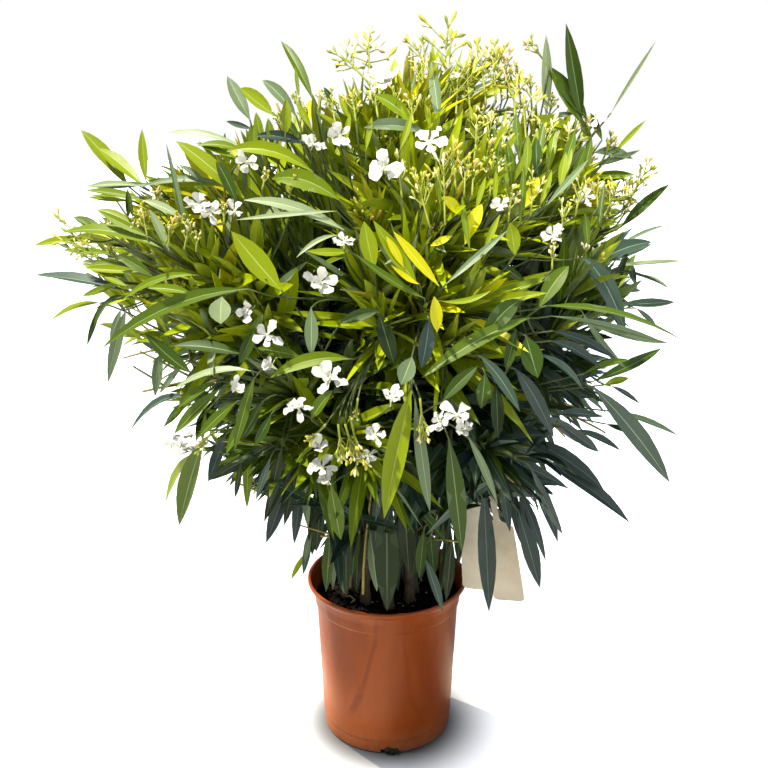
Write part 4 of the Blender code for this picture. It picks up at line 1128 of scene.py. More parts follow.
class Growth:
    """All twigs and all leaves of the plant as they are gathered, before they become meshes."""

    def __init__(self, rng):
        self.rng = rng
        self.leaders = []
        self.twigs = []
        self.carriers = []
        self.leaves = []
        self.tips = []

    def shoot(self, name, start, way, end):
        """The twigs and whorls of one shoot: the source's leader, with seven side twigs for its two."""
        rng = self.rng
        span = np.linalg.norm(end - start)
        controls = (start, start + 0.33 * span * way, start + 0.7 * (end - start), end)
        leader = cubic(controls, 10)
        self.leaders.append(leader)
        turn = rng.uniform(0, 360)
        self.whorls(leader, LEADER_WHORLS, turn, 1.0)
        self.tuft(name, leader)
        self.tips.append((name, leader[-1], unit(leader[-1] - leader[-2]), True))
        for k, (share, length) in enumerate(zip(TWIG_SHARES, TWIG_LENGTHS)):
            root, along = point_at(leader, share + rng.uniform(-0.03, 0.03))
            out = tilted(along, turn + GOLDEN_TURN * k, TWIG_ANGLE + rng.uniform(-9, 9))
            reach = length * span * rng.uniform(0.85, 1.2)
            lift = 0.16 if not name.startswith("low") else -0.05
            tip = root + reach * unit(out + 0.25 * along + lift * UP)
            twig = sprig(root, out, reach, tip, 7)
            if tip[2] < LEAST_TWIG_HEIGHT or not within_outline(tip) or hides(tip):
                continue
            self.twigs.append(twig)
            self.whorls(twig, TWIG_WHORLS, rng.uniform(0, 360), 0.92)
            self.tuft(name, twig)
            self.tips.append((name, twig[-1], unit(twig[-1] - twig[-2]), False))

    def fill(self, limb):
        """Short leafy twigs off a stem or bough, inside the crown."""
        rng = self.rng
        path = cubic(limb, 24)
        for share in INNER_TWIG_SHARES:
            root, along = point_at(path, share)
            if root[2] < LEAST_TWIG_HEIGHT:
                continue
            out = tilted(along, rng.uniform(0, 360), rng.uniform(45, 75))
            reach = rng.uniform(0.07, 0.12)
            tip = root + reach * unit(out + 0.3 * along)
            twig = sprig(root, out, reach, tip, 7)
            self.twigs.append(twig)
            self.whorls(twig, INNER_WHORLS, rng.uniform(0, 360), 0.85)

    def skirt(self, limb):
        """Old leaves that hang round the lower part of a stem, dark with the painted shade that the tones of
        their height give them.
        """
        rng = self.rng
        path = cubic(limb, 24)
        for share in SKIRT_SHARES:
            root, along = point_at(path, share)
            count = 3
            ways = heading(rng.uniform(0, 360) + 120 * np.arange(count) + rng.uniform(-20, 20, count))
            outward = unit(root * np.array((1, 1, 0)))
            ways = unit(rng.uniform(0.25, 0.9, (count, 1)) * ways - 0.75 * UP + 0.35 * outward)
            length = LEAF_LENGTH * rng.uniform(0.55, 0.95, count)
            seeds = self.leaf_seeds(np.tile(root, (count, 1)), ways, along, length)
            seeds["way"] = ways
            self.leaves.append(seeds)

    def tuft(self, name, twig):
        """Young narrow leaves that stand up round the end of a sunlit twig."""
        rng = self.rng
        if not name.startswith(TUFTED):
            return
        count = 7
        roots, ways = point_at(twig, rng.uniform(0.86, 1.0, count))
        turns = 51.0 * np.arange(count) + rng.uniform(-25, 25, count)
        ways = tilted(unit(ways + 0.5 * UP), turns, rng.uniform(10, 32, count))
        length = LEAF_LENGTH * rng.uniform(0.42, 0.80, count)
        seeds = self.leaf_seeds(roots, ways, ways.mean(0), length)
        seeds["width"] *= rng.uniform(0.50, 0.80, count)
        seeds["young"] += 0.6
        self.leaves.append(seeds)

    def whorls(self, twig, shares, turn, size):
        """Three leaves round each share of a twig, steeper and shorter towards its tip."""
        rng = self.rng
        for k, share in enumerate(shares):
            root, along = point_at(twig, share)
            count = 3
            spread = 68 - 34 * share + rng.uniform(-16, 16, count)
            turns = turn + 60 * k + 120 * np.arange(count) + rng.uniform(-22, 22, count)
            ways = tilted(np.tile(along, (count, 1)), turns, spread)
            fade = 1.0 - 0.22 * max(share - 0.6, 0) / 0.4
            length = size * LEAF_LENGTH * fade * rng.uniform(0.72, 1.20, count)
            self.leaves.append(self.leaf_seeds(np.tile(root, (count, 1)), ways, along, length))

    def leaf_seeds(self, feet, ways, along, length):
        """Seeds of the leaves of one whorl: low ones droop, and high ones stand up."""
        rng = self.rng
        count = len(feet)
        low = np.clip((0.66 - feet[:, 2]) / 0.30, 0, 1)
        high = np.clip((feet[:, 2] - 0.72) / 0.12, 0, 1)
        lift = 0.30 * (1 - low) - 0.45 * low + rng.normal(0, 0.12, count)
        ways = unit(ways + 0.32 * unit(feet - HEART) + lift[:, None] * UP)
        face = unit(0.6 * along + 0.6 * UP + rng.normal(0, 0.34, (count, 3)))
        slim = (0.55 + 0.45 * length / LEAF_LENGTH) * (1 - 0.18 * high)
        return {
            "foot": feet - 0.001 * ways,
            "way": ways,
            "face": face,
            "length": length,
            "width": LEAF_WIDTH * rng.uniform(0.86, 1.12, count) * slim,
            "bend": bent(
                ways, face, rng.uniform(-0.14, 0.14, count), rng.uniform(0.0, 0.20, count) + 0.18 * low
            ),
            "fold": rng.uniform(0.15, 0.65, count),
            "twist": rng.uniform(-0.8, 0.8, count),
            "ripple": rng.uniform(0.0, 0.12, count),
            "phase": rng.uniform(0, 1, count),
            "spray": np.full(count, len(self.leaves)),
            "young": np.zeros(count),
        }

    def carry(self, point, way):
        """A thin twig from an older one behind a point, that comes out of the crown and ends there."""
        way = unit(0.5 * unit(way) + unit(point - HEART))
        older = np.concatenate([twig[2:] for twig in self.leaders + self.twigs])
        offsets = older - point
        spans = np.linalg.norm(offsets, axis=1)
        outer = crown_share(older) > crown_share(point) - 0.02
        best = int(np.argmin(spans * (1 + 0.85 * unit(offsets) @ way) + 0.4 * outer))
        root, span = older[best], spans[best]
        self.carriers.append(cubic((root, root + 0.35 * (point - root), point - 0.35 * span * way, point), 7))

    def single_leaves(self):
        """Seeds and tones of the leaves whose places the front view gives, each carried by a twig."""
        rows = [(tone, *row, True) for tone, leaves in FRONT_LEAVES.items() for row in leaves]
        rows += [(tone, *row, False) for tone, leaves in HANGING_LEAVES.items() for row in leaves]
        seeds, tones = [], []
        for tone, foot_x, foot_y, tip_x, tip_y, width, bow, place, on_crown in rows:
            if on_crown:
                foot, tip = seen_on_crown(foot_x, foot_y, place - 0.03), seen_on_crown(tip_x, tip_y, place)
            else:
                foot, tip = seen_at(foot_x, foot_y, place + 0.015), seen_at(tip_x, tip_y, place)
            most = MOST_SLANT * np.linalg.norm(tip - foot)
            tip = seen_at(tip_x, tip_y, foot[1] + float(np.clip(tip[1] - foot[1], -most, most)))
            seeds.append(self.single_seed(foot, tip, width, bow))
            tones.append(tone)
            self.carry(foot, seeds[-1]["way"][0] + 0.4 * UP)
        return joined_seeds(seeds), np.array(tones, object)

    def single_seed(self, foot, tip, width, bow):
        """Seed of a leaf from foot to tip, whose middle stands a bow above the line between them."""
        rng = self.rng
        chord = tip - foot
        scale = pixel_size(foot)
        bend = -4 * bow * scale * UP + rng.normal(0, 0.002, 3)
        length = np.linalg.norm(chord - bend)
        return {
            "foot": foot[None],
            "way": ((chord - bend) / length)[None],
            "face": unit(unit(CAMERA_PLACE - foot) + 0.45 * UP + rng.normal(0, 0.15, 3))[None],
            "length": np.array([length]),
            "width": np.array([0.90 * width * scale]),
            "bend": (bend / length)[None],
            "fold": rng.uniform(0.25, 0.60, 1),
            "twist": rng.uniform(-0.25, 0.25, 1),
            "ripple": rng.uniform(0.0, 0.08, 1),
            "phase": rng.uniform(0, 1, 1),
            "spray": np.zeros(1, int),
            "young": np.zeros(1),
        }


def bent(ways, faces, sway, droop):
    """How far blades bend by their tips: sideways by sway and down by droop, as shares of their length."""
    return sway[:, None] * np.cross(ways, unit(across(faces, ways))) - droop[:, None] * UP


def leaf_tips(seeds):
    """The far ends of the leaves' midlines."""
    return seeds["foot"] + seeds["length"][:, None] * (seeds["way"] + seeds["bend"])


def kept_in_reach(seeds, rng):
    """The leaves whose tips stay within the crown's reach, shortened a little where that helps.

    Each leaf keeps a margin of its own to the outline of the front view, which leaves that ragged.
    None crosses a gap in which the sky shows, or hides the label or the pot's mouth.
    """
    margin = 1 + OUTLINE_MARGIN * rng.random((len(seeds["length"]), 1))
    fitted = np.zeros(len(seeds["length"]), bool)
    full = seeds["length"].copy()
    for size in (1.0, 0.92, 0.84, 0.76):
        seeds["length"] = np.where(fitted, seeds["length"], full * size)
        tips = leaf_tips(seeds)
        middles = 0.5 * (seeds["foot"] + tips)
        most = np.where((tips[:, 1] < 0) & (tips[:, 2] > 0.5), FRONT_SHARE, MOST_SHARE)
        outward = unit(tips - HEART)
        most = most + CORNER_SHARE * np.clip(2 * outward[:, 0] * outward[:, 2], 0, 1)
        least = np.where(np.linalg.norm(tips[:, :2], axis=1) < WITHIN_MOUTH, MOUTH_HEIGHT, LEAST_HEIGHT)
        fits = (crown_share(tips) <= most) & (tips[:, 2] >= least)
        fits &= within_outline(HEART + margin * (tips - HEART))
        for part in (0.25, 0.50, 0.75, 1.0):
            along = seeds["way"] + part * seeds["bend"]
            fits &= ~in_windows(seeds["foot"] + part * seeds["length"][:, None] * along, SKY_WINDOWS)
        fitted |= fits & ~hides(tips) & ~hides(middles)
    seeds["width"] = seeds["width"] * (0.4 + 0.6 * seeds["length"] / full)
    return picked(seeds, fitted)


# ---- tones dealt out by spray ------------------------------------------------------------------

# from the coolest and most shaded sprays to the warmest and sunniest, the tones that they take, which paint
# shade and sunlight into the leaves
TONE_BANDS = (
    (-0.70, ("ink", "sea", "shade", "sea", "ink")),
    (-0.40, ("ink", "shade", "deep", "sea", "shade")),
    (-0.12, ("deep", "shade", "leaf", "sea", "deep")),
    (0.15, ("leaf", "deep", "grass", "leaf", "deep")),
    (0.42, ("grass", "leaf", "sunny", "grass", "leaf")),
    (0.80, ("sunny", "lime", "grass", "sunny", "grass")),
    (1.35, ("lime", "sunny", "lime", "sunny", "lime", "grass", "sage", "lime", "silver")),
    (9.00, ("lime", "golden", "lime", "sunny", "lime", "silver", "lime", "golden", "lime")),
)


def deal_tones(seeds, rng):
    """The name of each leaf's tone: by its spray's place, with some chance.

    The tones paint sunlight and shade into the leaves' colour. Painted sunlight rises with height,
    towards the front and towards the crown's outline, and once more among the blossom. Painted shade
    falls to the right under the top, and low down on the right and in the middle. Young leaves add
    their own warmth. The band that the sum lies in gives the tones, of which each spray draws one.
    """
    count = int(seeds["spray"].max()) + 1
    luck = rng.normal(0, 0.22, count)[seeds["spray"]] + rng.normal(0, 0.12, len(seeds["spray"]))
    foot = seeds["foot"]
    tips = leaf_tips(seeds)
    share = crown_share(0.5 * (foot + tips))
    # painted sunlight and shade by place, with young leaves' own warmth and some chance
    painted_light_and_youth = (
        2.30 * (foot[:, 2] - 0.580) / 0.36
        - 0.70 * foot[:, 0] / 0.42 * np.clip((1.0 - foot[:, 2]) / 0.35, 0, 1)
        - 0.35 * foot[:, 1] / 0.40
        + 2.2 * np.minimum(share - 0.86, 0.1)
        - 1.1 * np.clip((0.57 - foot[:, 2]) / 0.09, 0, 1) * np.clip((foot[:, 0] + 0.20) / 0.10, 0, 1)
        + 0.5 * np.clip((foot[:, 2] - 0.80) / 0.10, 0, 1)
        - 0.75 * np.clip((foot[:, 0] - 0.06) / 0.12, 0, 1) * np.clip((0.80 - foot[:, 2]) / 0.12, 0, 1)
        + seeds["young"]
        + luck
    )
    band = np.searchsorted([limit for limit, _ in TONE_BANDS], painted_light_and_youth)
    draw = rng.random(count)[seeds["spray"]]
    names = np.empty(len(foot), object)
    for k, (_, tones) in enumerate(TONE_BANDS):
        here = band == k
        names[here] = np.array(tones, object)[(draw[here] * len(tones)).astype(int)]
    return names


# ---- blossom -----------------------------------------------------------------------------------

PETAL_STATIONS = (0.0, 0.18, 0.36, 0.54, 0.72, 0.88, 1.0)
PETAL_OUTLINE = (0.18, 0.30, 0.60, 0.88, 1.0, 0.84, 0.0)
CYME_LENGTH = 0.085
FLOWER_WIDTH = 0.050
TUBE_LENGTH = 0.020
HIGHEST_TOP = 1.020
BUD_STATIONS = 7
BUD_SHAPE = (0.34, 0.40, 0.46, 0.80, 1.0, 0.72, 0.10)


class Blossom:
    """Flowers, buds and the stalks that carry them, as they are gathered."""

    def __init__(self, rng):
        self.rng = rng
        self.stalks = []
        self.buds = []
        self.flowers = []

    def cyme(self, root, way, size, flowers):
        """A stalk that forks in pairs, each end with buds or an open flower."""
        rng = self.rng
        top = root + size * CYME_LENGTH * way
        main = cubic((root, root + 0.4 * (top - root), root + 0.7 * (top - root), top), 6)
        self.stalks.append((main, 0.0014, 0.0010))
        turn = rng.uniform(0, 360)
        left = flowers
        for k, share in enumerate((0.45, 0.62, 0.80, 0.98)):
            for half in (0, 180):
                start, along = point_at(main, share)
                out = tilted(along, turn + 90 * k + half + rng.uniform(-15, 15), rng.uniform(34, 50))
                reach = size * rng.uniform(0.016, 0.032) * (1.25 - 0.45 * share)
                tip = start + reach * unit(out + 0.25 * along)
                self.stalks.append((sprig(start, out, reach, tip, 6), 0.0009, 0.0007))
                if left > 0 and rng.random() < 0.4:
                    left -= 1
                    self.flower(tip, unit(out + 0.2 * way))
                    continue
                self.bud_group(tip, unit(out + 0.8 * along), size)
        self.bud_group(main[-1], way, size)
        for _ in range(left):
            self.flower(main[-1], tilted(way, rng.uniform(0, 360), rng.uniform(15, 45)))

    def bud_group(self, root, way, size):
        """Two or three slender buds from one point."""
        rng = self.rng
        count = rng.integers(2, 4)
        turns = rng.uniform(0, 360) + 360.0 / count * np.arange(count)
        for out in tilted(np.tile(way, (count, 1)), turns, rng.uniform(12, 30, count)):
            self.buds.append((root, unit(out), size * rng.uniform(0.010, 0.024)))

    def flower(self, root, way):
        """An open flower at the end of its narrow tube."""
        self.flowers.append((root, unit(way), self.rng.uniform(0.70, 0.95)))


def flower_seeds(flowers, rng):
    """Seeds of the petals: five to a flower, like the blades of a pinwheel, and a few within some."""
    sets = []
    for root, way, size in flowers:
        middle = root + TUBE_LENGTH * size * way
        rows = ((5, rng.choice((46, 66, 76, 82)), 1.0),)
        if rng.random() < 0.45:
            rows += ((rng.integers(2, 5), rng.uniform(20, 50), 0.62),)
        for count, opening, part in rows:
            turns = rng.uniform(0, 360) + 360 / count * np.arange(count) + rng.uniform(-13, 13, count)
            out = tilted(np.tile(way, (count, 1)), turns, opening + rng.uniform(-16, 12, count))
            face = np.tile(way, (count, 1))
            curl = rng.uniform(-0.30, 0.15) + rng.uniform(-0.25, 0.20, count)
            sway = bent(out, face, rng.uniform(0.0, 0.42, count), np.zeros(count))
            sets.append(
                {
                    "foot": middle + 0.0022 * size * out,
                    "way": out,
                    "face": face,
                    "length": 0.0250 * size * part * rng.uniform(0.62, 1.10, count),
                    "width": 0.0175 * size * part * rng.uniform(0.60, 1.15, count),
                    "bend": sway + curl[:, None] * way,
                    "fold": rng.uniform(-0.35, 0.45, count),
                    "twist": rng.uniform(-0.1, 0.9, count),
                    "ripple": rng.uniform(0.15, 0.50, count),
                    "phase": rng.uniform(0, 1, count),
                }
            )
    return joined_seeds(sets)


def make_blossom(blossom):
    """The pieces of the blossom: petals, flower tubes, buds and stalks."""
    rng = np.random.default_rng(SEED + 5)
    petal = petal_finish()
    seeds = flower_seeds(blossom.flowers, rng)
    put_blades("petals", seeds, PETAL_STATIONS, PETAL_OUTLINE, (petal, petal, petal), "petals", 0.3, 0.0003)
    roots, ways, sizes = (np.array(column) for column in zip(*blossom.flowers))
    s = np.array((0.0, 0.25, 0.5, 0.8, 1.0, 1.12))
    paths = roots[:, None] + ways[:, None] * (TUBE_LENGTH * sizes[:, None] * s)[..., None]
    radii = sizes[:, None] * np.array((0.0011, 0.0012, 0.0014, 0.0026, 0.0034, 0.0020))
    tube = soft_finish("flower_tube", (0.62, 0.66, 0.34), (0.78, 0.78, 0.52), 0.55)
    make_piece("flower_tubes", *tubes(paths, radii, 8), (tube,), "petals")
    make_buds(blossom, rng)
    stalks, foot, tip = (np.array(column) for column in zip(*blossom.stalks))
    radii = foot[:, None] + (tip - foot)[:, None] * np.linspace(0, 1, stalks.shape[1])
    stalk = soft_finish("green_stalk", (0.22, 0.26, 0.018), (0.30, 0.33, 0.04), 0.55)
    make_piece("blossom_stalks", *tubes(stalks, radii, 5), (stalk,), "leaves")


def make_buds(blossom, rng):
    """Slender buds: each a spindle with a narrow foot, in four tones dealt out by chance."""
    roots, ways, lengths = (np.array(column) for column in zip(*blossom.buds))
    s = np.linspace(0, 1, BUD_STATIONS)
    widths = (0.0010 + 0.055 * lengths) * rng.uniform(0.85, 1.15, len(lengths))
    bow = unit(np.cross(ways, UP)) * rng.uniform(-0.06, 0.06, (len(ways), 1))
    runs = s[:, None] * ways[:, None] + (s**2)[:, None] * bow[:, None]
    paths = roots[:, None] + lengths[:, None, None] * runs
    radii = widths[:, None] * np.array(BUD_SHAPE)
    tones = (
        ("cream", (0.74, 0.72, 0.36), (0.84, 0.82, 0.55), 0.28),
        ("yellow", (0.44, 0.41, 0.015), (0.56, 0.52, 0.06), 0.36),
        ("green", (0.23, 0.28, 0.012), (0.33, 0.37, 0.04), 0.28),
        ("apricot", (0.74, 0.42, 0.12), (0.82, 0.58, 0.22), 0.08),
    )
    draw = rng.random(len(roots))
    low = 0.0
    for name, first, second, part in tones:
        chosen = (draw >= low) & (draw < low + part)
        low += part
        material = soft_finish(f"{name}_bud", first, second, 0.5, 120.0)
        make_piece(f"{name}_buds", *tubes(paths[chosen], radii[chosen], 6), (material,), "petals")


# ---- pot, compost, label -----------------------------------------------------------------------


def rings_of(radius, height, sides):
    """Points of a ring about the vertical axis for each radius and height, as (n, sides, 3)."""
    angle = 2 * np.pi * np.arange(sides) / sides
    high = np.repeat(height[:, None], sides, 1)
    return np.stack((radius[:, None] * np.cos(angle), radius[:, None] * np.sin(angle), high), -1)


def turned(profile, sides):
    """Points and faces of a profile turned about the vertical axis, closed on it at both ends."""
    radius, height = np.array(profile[1:-1]).T
    ends = np.array(((0, 0, profile[0][1]), (0, 0, profile[-1][1])), float)
    rings = rings_of(radius, height, sides).reshape(-1, 3)
    return np.concatenate((rings, ends)), tube_faces(len(radius), sides)


def rounded(profile, steps=3):
    """A profile with each inner corner cut into a short arc: corner points slide towards both neighbours."""
    points = [np.array(p, float) for p in profile]
    out = [points[0]]
    for before, here, after in zip(points, points[1:], points[2:]):
        a = here + min(0.3, 0.0012 / max(np.linalg.norm(before - here), 1e-6)) * (before - here)
        b = here + min(0.3, 0.0012 / max(np.linalg.norm(after - here), 1e-6)) * (after - here)
        for t in np.linspace(0, 1, steps):
            out.append((1 - t) ** 2 * a + 2 * t * (1 - t) * here + t * t * b)
    out.append(points[-1])
    return [tuple(p) for p in out]


def wall_radius(height):
    """Outer radius of the pot's straight tapering wall."""
    share = (height - FOOT_RING_HEIGHT) / (UPPER_RING_HEIGHT - FOOT_RING_HEIGHT)
    return WALL_FOOT_RADIUS + share * (WALL_TOP_RADIUS - WALL_FOOT_RADIUS)


BOX_FACES = ((0, 1, 3, 2), (4, 6, 7, 5), (0, 4, 5, 1), (2, 3, 7, 6), (0, 2, 6, 4), (1, 5, 7, 3))


def make_pot():
    """The turned pot, with the notches in its foot cut by boxes."""
    outside = [
        (FOOT_RADIUS - 0.003, 0.0),
        (FOOT_RADIUS, 0.002),
        (FOOT_RADIUS + 0.0005, FOOT_RING_HEIGHT - 0.004),
        (WALL_FOOT_RADIUS, FOOT_RING_HEIGHT),
        (wall_radius(0.118), 0.118),
        (WALL_TOP_RADIUS, UPPER_RING_HEIGHT - 0.003),
        (COLLAR_RADIUS, UPPER_RING_HEIGHT),
        (COLLAR_RADIUS + 0.0015, UPPER_RING_HEIGHT + 0.014),
        (COLLAR_RADIUS + 0.0050, POT_HEIGHT - 0.012),
        (RIM_RADIUS - 0.0010, POT_HEIGHT - 0.006),
        (RIM_RADIUS, POT_HEIGHT - 0.003),
        (RIM_RADIUS - 0.0015, POT_HEIGHT),
    ]
    inside = [
        (RIM_RADIUS - 0.0050, POT_HEIGHT - 0.001),
        (COLLAR_RADIUS + 0.0025, POT_HEIGHT - 0.012),
        (COLLAR_RADIUS - WALL_THICKNESS, UPPER_RING_HEIGHT + 0.004),
        (WALL_TOP_RADIUS - WALL_THICKNESS, UPPER_RING_HEIGHT - 0.006),
        (WALL_FOOT_RADIUS - WALL_THICKNESS, FOOT_RING_HEIGHT),
        (FOOT_RADIUS - WALL_THICKNESS - 0.0025, FLOOR_THICKNESS),
    ]
    profile = rounded([(0.0, 0.0)] + outside + inside + [(0.0, FLOOR_THICKNESS)])
    points, faces = turned(profile, 180)
    pot = make_piece("pot_shell", points, faces, (pot_finish(),), "pot_plastic", replaced=("pot",))
    cutters = []
    for azimuth in NOTCH_AZIMUTHS:
        out = heading(azimuth)
        beside = np.cross(UP, out)
        corners = [
            FOOT_RADIUS * out + 0.013 * a * out + 0.5 * NOTCH_WIDTH * b * beside + NOTCH_HEIGHT * c * UP
            for a in (-1, 1)
            for b in (-1, 1)
            for c in (-1, 1)
        ]
        cutters.append((np.array(corners), np.array(BOX_FACES)))
    points, faces = gathered(cutters)
    cutter_mesh = bpy.data.meshes.new("notches")
    cutter_mesh.from_pydata(points.tolist(), [], faces.tolist())
    cutter = placed("notches", cutter_mesh)
    cut = pot.modifiers.new("notches", "BOOLEAN")
    cut.operation = "DIFFERENCE"
    cut.solver = "EXACT"
    cut.object = cutter
    mesh = bpy.data.meshes.new_from_object(pot.evaluated_get(bpy.context.evaluated_depsgraph_get()))
    pot.modifiers.clear()
    pot.data = mesh
    mesh.set_sharp_from_angle(angle=math.radians(35))
    bpy.data.objects.remove(cutter)


def lumps(places, sizes, rng, rings=4, sides=6):
    """Points and faces of small irregular lumps: squashed balls with random dents."""
    count = len(places)
    polar = np.pi * (np.arange(rings) + 0.5) / rings
    shape = rings_of(np.sin(polar), np.cos(polar), sides)
    dents = rng.uniform(0.70, 1.15, (count, rings, sides, 1))
    squash = rng.uniform(0.6, 1.3, (count, 1, 1, 3))
    points = places[:, None, None] + sizes[:, None, None, None] * shape[None, ::-1] * dents * squash
    poles = sizes[:, None, None] * np.array(((0, 0, -1.0), (0, 0, 1.0))) * squash[:, 0]
    points = np.concatenate((points.reshape(count, -1, 3), places[:, None] + poles), 1)
    return points.reshape(-1, 3), repeated(tube_faces(rings, sides), count, rings * sides + 2)


def make_compost():
    """Compost with a crumbly uneven top, crumbs, a few dry curls and pale specks."""
    rng = np.random.default_rng(SEED + 9)
    slack = WALL_THICKNESS + 0.0012
    edge = WALL_TOP_RADIUS - slack
    rings, sides = 40, 120
    wall = np.array((FOOT_RADIUS - 0.012, FOOT_RADIUS - 0.006, WALL_FOOT_RADIUS, WALL_TOP_RADIUS - 0.0005))
    radius = np.concatenate((wall - slack, np.linspace(edge, 0.002, rings)))
    base = FLOOR_THICKNESS + GAP
    rises = (base, FOOT_RING_HEIGHT * 0.5, FOOT_RING_HEIGHT + 0.003, UPPER_RING_HEIGHT - 0.010)
    height = np.concatenate((rises, np.full(rings, COMPOST_LEVEL)))
    x, y, z = rings_of(radius, height, sides).transpose(2, 0, 1)
    waves = np.zeros_like(z)
    for _ in range(40):
        way = rng.normal(0, 1, 2)
        waves += np.sin((way[0] * x + way[1] * y) * rng.uniform(60, 420) + rng.uniform(0, 6.3)) / 40**0.5
    fade = np.clip((edge - radius) / 0.006, 0, 1)[:, None]
    top = (height > COMPOST_LEVEL - 0.001)[:, None]
    z = z + np.where(top, 0.0022 * waves * (0.4 + 0.6 * fade) - 0.002 * (1 - fade), 0)
    ends = np.array(((0, 0, base), (0, 0, z[-1].mean())))
    points = np.concatenate((np.stack((x, y, z), -1).reshape(-1, 3), ends))
    bed = (points, tube_faces(len(radius), sides))
    count = 520
    reach = edge * np.sqrt(rng.uniform(0, 0.93, count))
    turn = rng.uniform(0, 2 * np.pi, count)
    level = COMPOST_LEVEL + rng.uniform(-0.001, 0.002, count)
    places = np.stack((reach * np.cos(turn), reach * np.sin(turn), level), -1)
    crumbs = lumps(places, rng.uniform(0.0012, 0.0040, count), rng)
    points, faces = gathered((bed, crumbs))
    make_piece("compost_bed", points, faces, (compost_finish(),), "compost", replaced=("compost",))
    specks = lumps(places[:60] + 0.002 * UP, rng.uniform(0.0008, 0.0018, 60), rng)
    pale = soft_finish("pale_speck", (0.62, 0.52, 0.22), (0.75, 0.70, 0.50), 0.8)
    make_piece("compost_specks", *specks, (pale,), "compost")
    curls = []
    for i in range(5):
        azimuth = rng.uniform(212, 218) if i < 1 else rng.uniform(0, 360)
        middle = rng.uniform(0.055, 0.092) * heading(azimuth) + (COMPOST_LEVEL + 0.004) * UP
        t = np.linspace(0, 1, 9)
        bend = rng.uniform(2.0, 6.5) * t + rng.uniform(0, 6.3)
        size = rng.uniform(0.003, 0.008)
        rise = 0.004 * t + 0.002 * np.sin(9 * t)
        curls.append(middle + np.stack((size * np.cos(bend), size * np.sin(bend), rise), -1))
    radii = np.tile(np.array((0.4, 0.9, 1, 1, 1.1, 1, 0.9, 0.8, 0.3)) * 0.0011, (len(curls), 1))
    tan = soft_finish("dry_strand", (0.42, 0.29, 0.14), (0.55, 0.42, 0.24), 0.85)
    make_piece("dry_strands", *tubes(np.array(curls), radii, 5), (tan,), "compost")


def make_drain_lump():
    """The dark root plug that pokes out of the front notch."""
    rng = np.random.default_rng(SEED + 11)
    middle = np.array((0.0075, -FOOT_RADIUS - 0.0010, 0.0046))
    places = middle + rng.uniform(-1, 1, (18, 3)) * np.array((0.0084, 0.0015, 0.0032))
    places[0] = middle
    sizes = rng.uniform(0.0028, 0.0040, 18)
    sizes[0] = 0.0056
    points, faces = lumps(places, sizes, rng, 8, 12)
    points[:, 2] = np.maximum(points[:, 2], 0.0002)
    material = soft_finish("root_plug", (0.001, 0.001, 0.0015), (0.005, 0.004, 0.004), 0.9)
    make_piece("root_plug", points, faces, (material,), "compost")


def label_leg(seat, along, aside, drop, swing, curl):
    """Middle, face and width directions and width of one hanging leg's stations, from the loop down."""
    top = drop - LABEL_PANEL
    corner = 0.006
    ease = corner * (1 - np.cos(np.linspace(0, np.pi / 2, 5)))
    strap, shoulder = np.linspace(0.3, 1, 8) * top, top + np.array((0.003, 0.006, 0.010))
    panel, end = np.linspace(top + 0.02, drop - corner, 12), drop - corner + np.linspace(0.2, 1, 5) * corner
    downs = np.concatenate((strap, shoulder, panel, end))
    wide = np.full(len(downs), LABEL_WIDTH)
    wide[:8] = STRAP_WIDTH
    wide[8:11] = STRAP_WIDTH + (LABEL_WIDTH - STRAP_WIDTH) * np.array((0.45, 0.80, 1.0))
    wide[-5:] = LABEL_WIDTH - 2 * ease
    rows = []
    for down, width in zip(downs, wide):
        out = swing * down * (1 - 0.25 * down / drop)
        bow = curl * max(down - top, 0) ** 2
        middle = seat + out * along + (0.03 * down + bow) * aside - down * UP
        rows.append((middle, aside, along, width))
    return rows


def make_label(boughs):
    """The folded strip of card over its bough: a grid of stations by columns, closed round its edges."""
    path = cubic(boughs[LABEL_BOUGH], 8)
    away = np.linalg.norm(path[:, :2], axis=1)
    i = int(np.nonzero((away[:-1] <= LABEL_REACH) & (away[1:] >= LABEL_REACH))[0][0])
    seat = path[i] + (LABEL_REACH - away[i]) / (away[i + 1] - away[i]) * (path[i + 1] - path[i])
    way = unit(path[i + 1] - path[i])
    along = unit(way * np.array((1, 1, 0)))
    front = np.cross(along, UP)
    up = unit(np.cross(front, way))
    up = up if up[2] > 0 else -up
    radius = BOUGH_FOOT_RADIUS + i / 7 * (BOUGH_TIP_RADIUS - BOUGH_FOOT_RADIUS)
    loop = radius + LABEL_SLACK + 0.5 * LABEL_THICKNESS
    seat = seat - (LABEL_SLACK - GAP) * up
    rows = label_leg(seat + loop * front, along, front, LABEL_FRONT_DROP, LABEL_FRONT_SWING, 0.35)[::-1]
    for a in np.linspace(0, np.pi, 15):
        out = math.cos(a) * front + math.sin(a) * up
        rows.append((seat + loop * out, out, way, STRAP_WIDTH))
    rows += label_leg(seat - loop * front, along, -front, LABEL_BACK_DROP, LABEL_BACK_SWING, 0.25)
    columns = np.linspace(-1, 1, 9)
    middles, outs, widths_way, widths = (np.array(list(c)) for c in zip(*rows))
    bow = 0.045 * (1 - columns**2)
    sheet = (
        middles[:, None]
        + 0.5 * widths[:, None, None] * columns[None, :, None] * widths_way[:, None]
        + widths[:, None, None] * bow[None, :, None] * outs[:, None]
    )
    front_sheet = sheet + 0.5 * LABEL_THICKNESS * outs[:, None]
    back_sheet = sheet - 0.5 * LABEL_THICKNESS * outs[:, None]
    loop_points = np.concatenate((front_sheet, back_sheet[:, ::-1]), 1)
    count, around, _ = loop_points.shape
    points = np.concatenate((loop_points.reshape(-1, 3), loop_points[:1].mean(1), loop_points[-1:].mean(1)))
    faces = tube_faces(count, around)
    piece = make_piece("card_label", points, faces, (label_finish(),), "label_paper", replaced=("label",))
    piece.data.set_sharp_from_angle(angle=math.radians(50))


# ---- the plant ---------------------------------------------------------------------------------


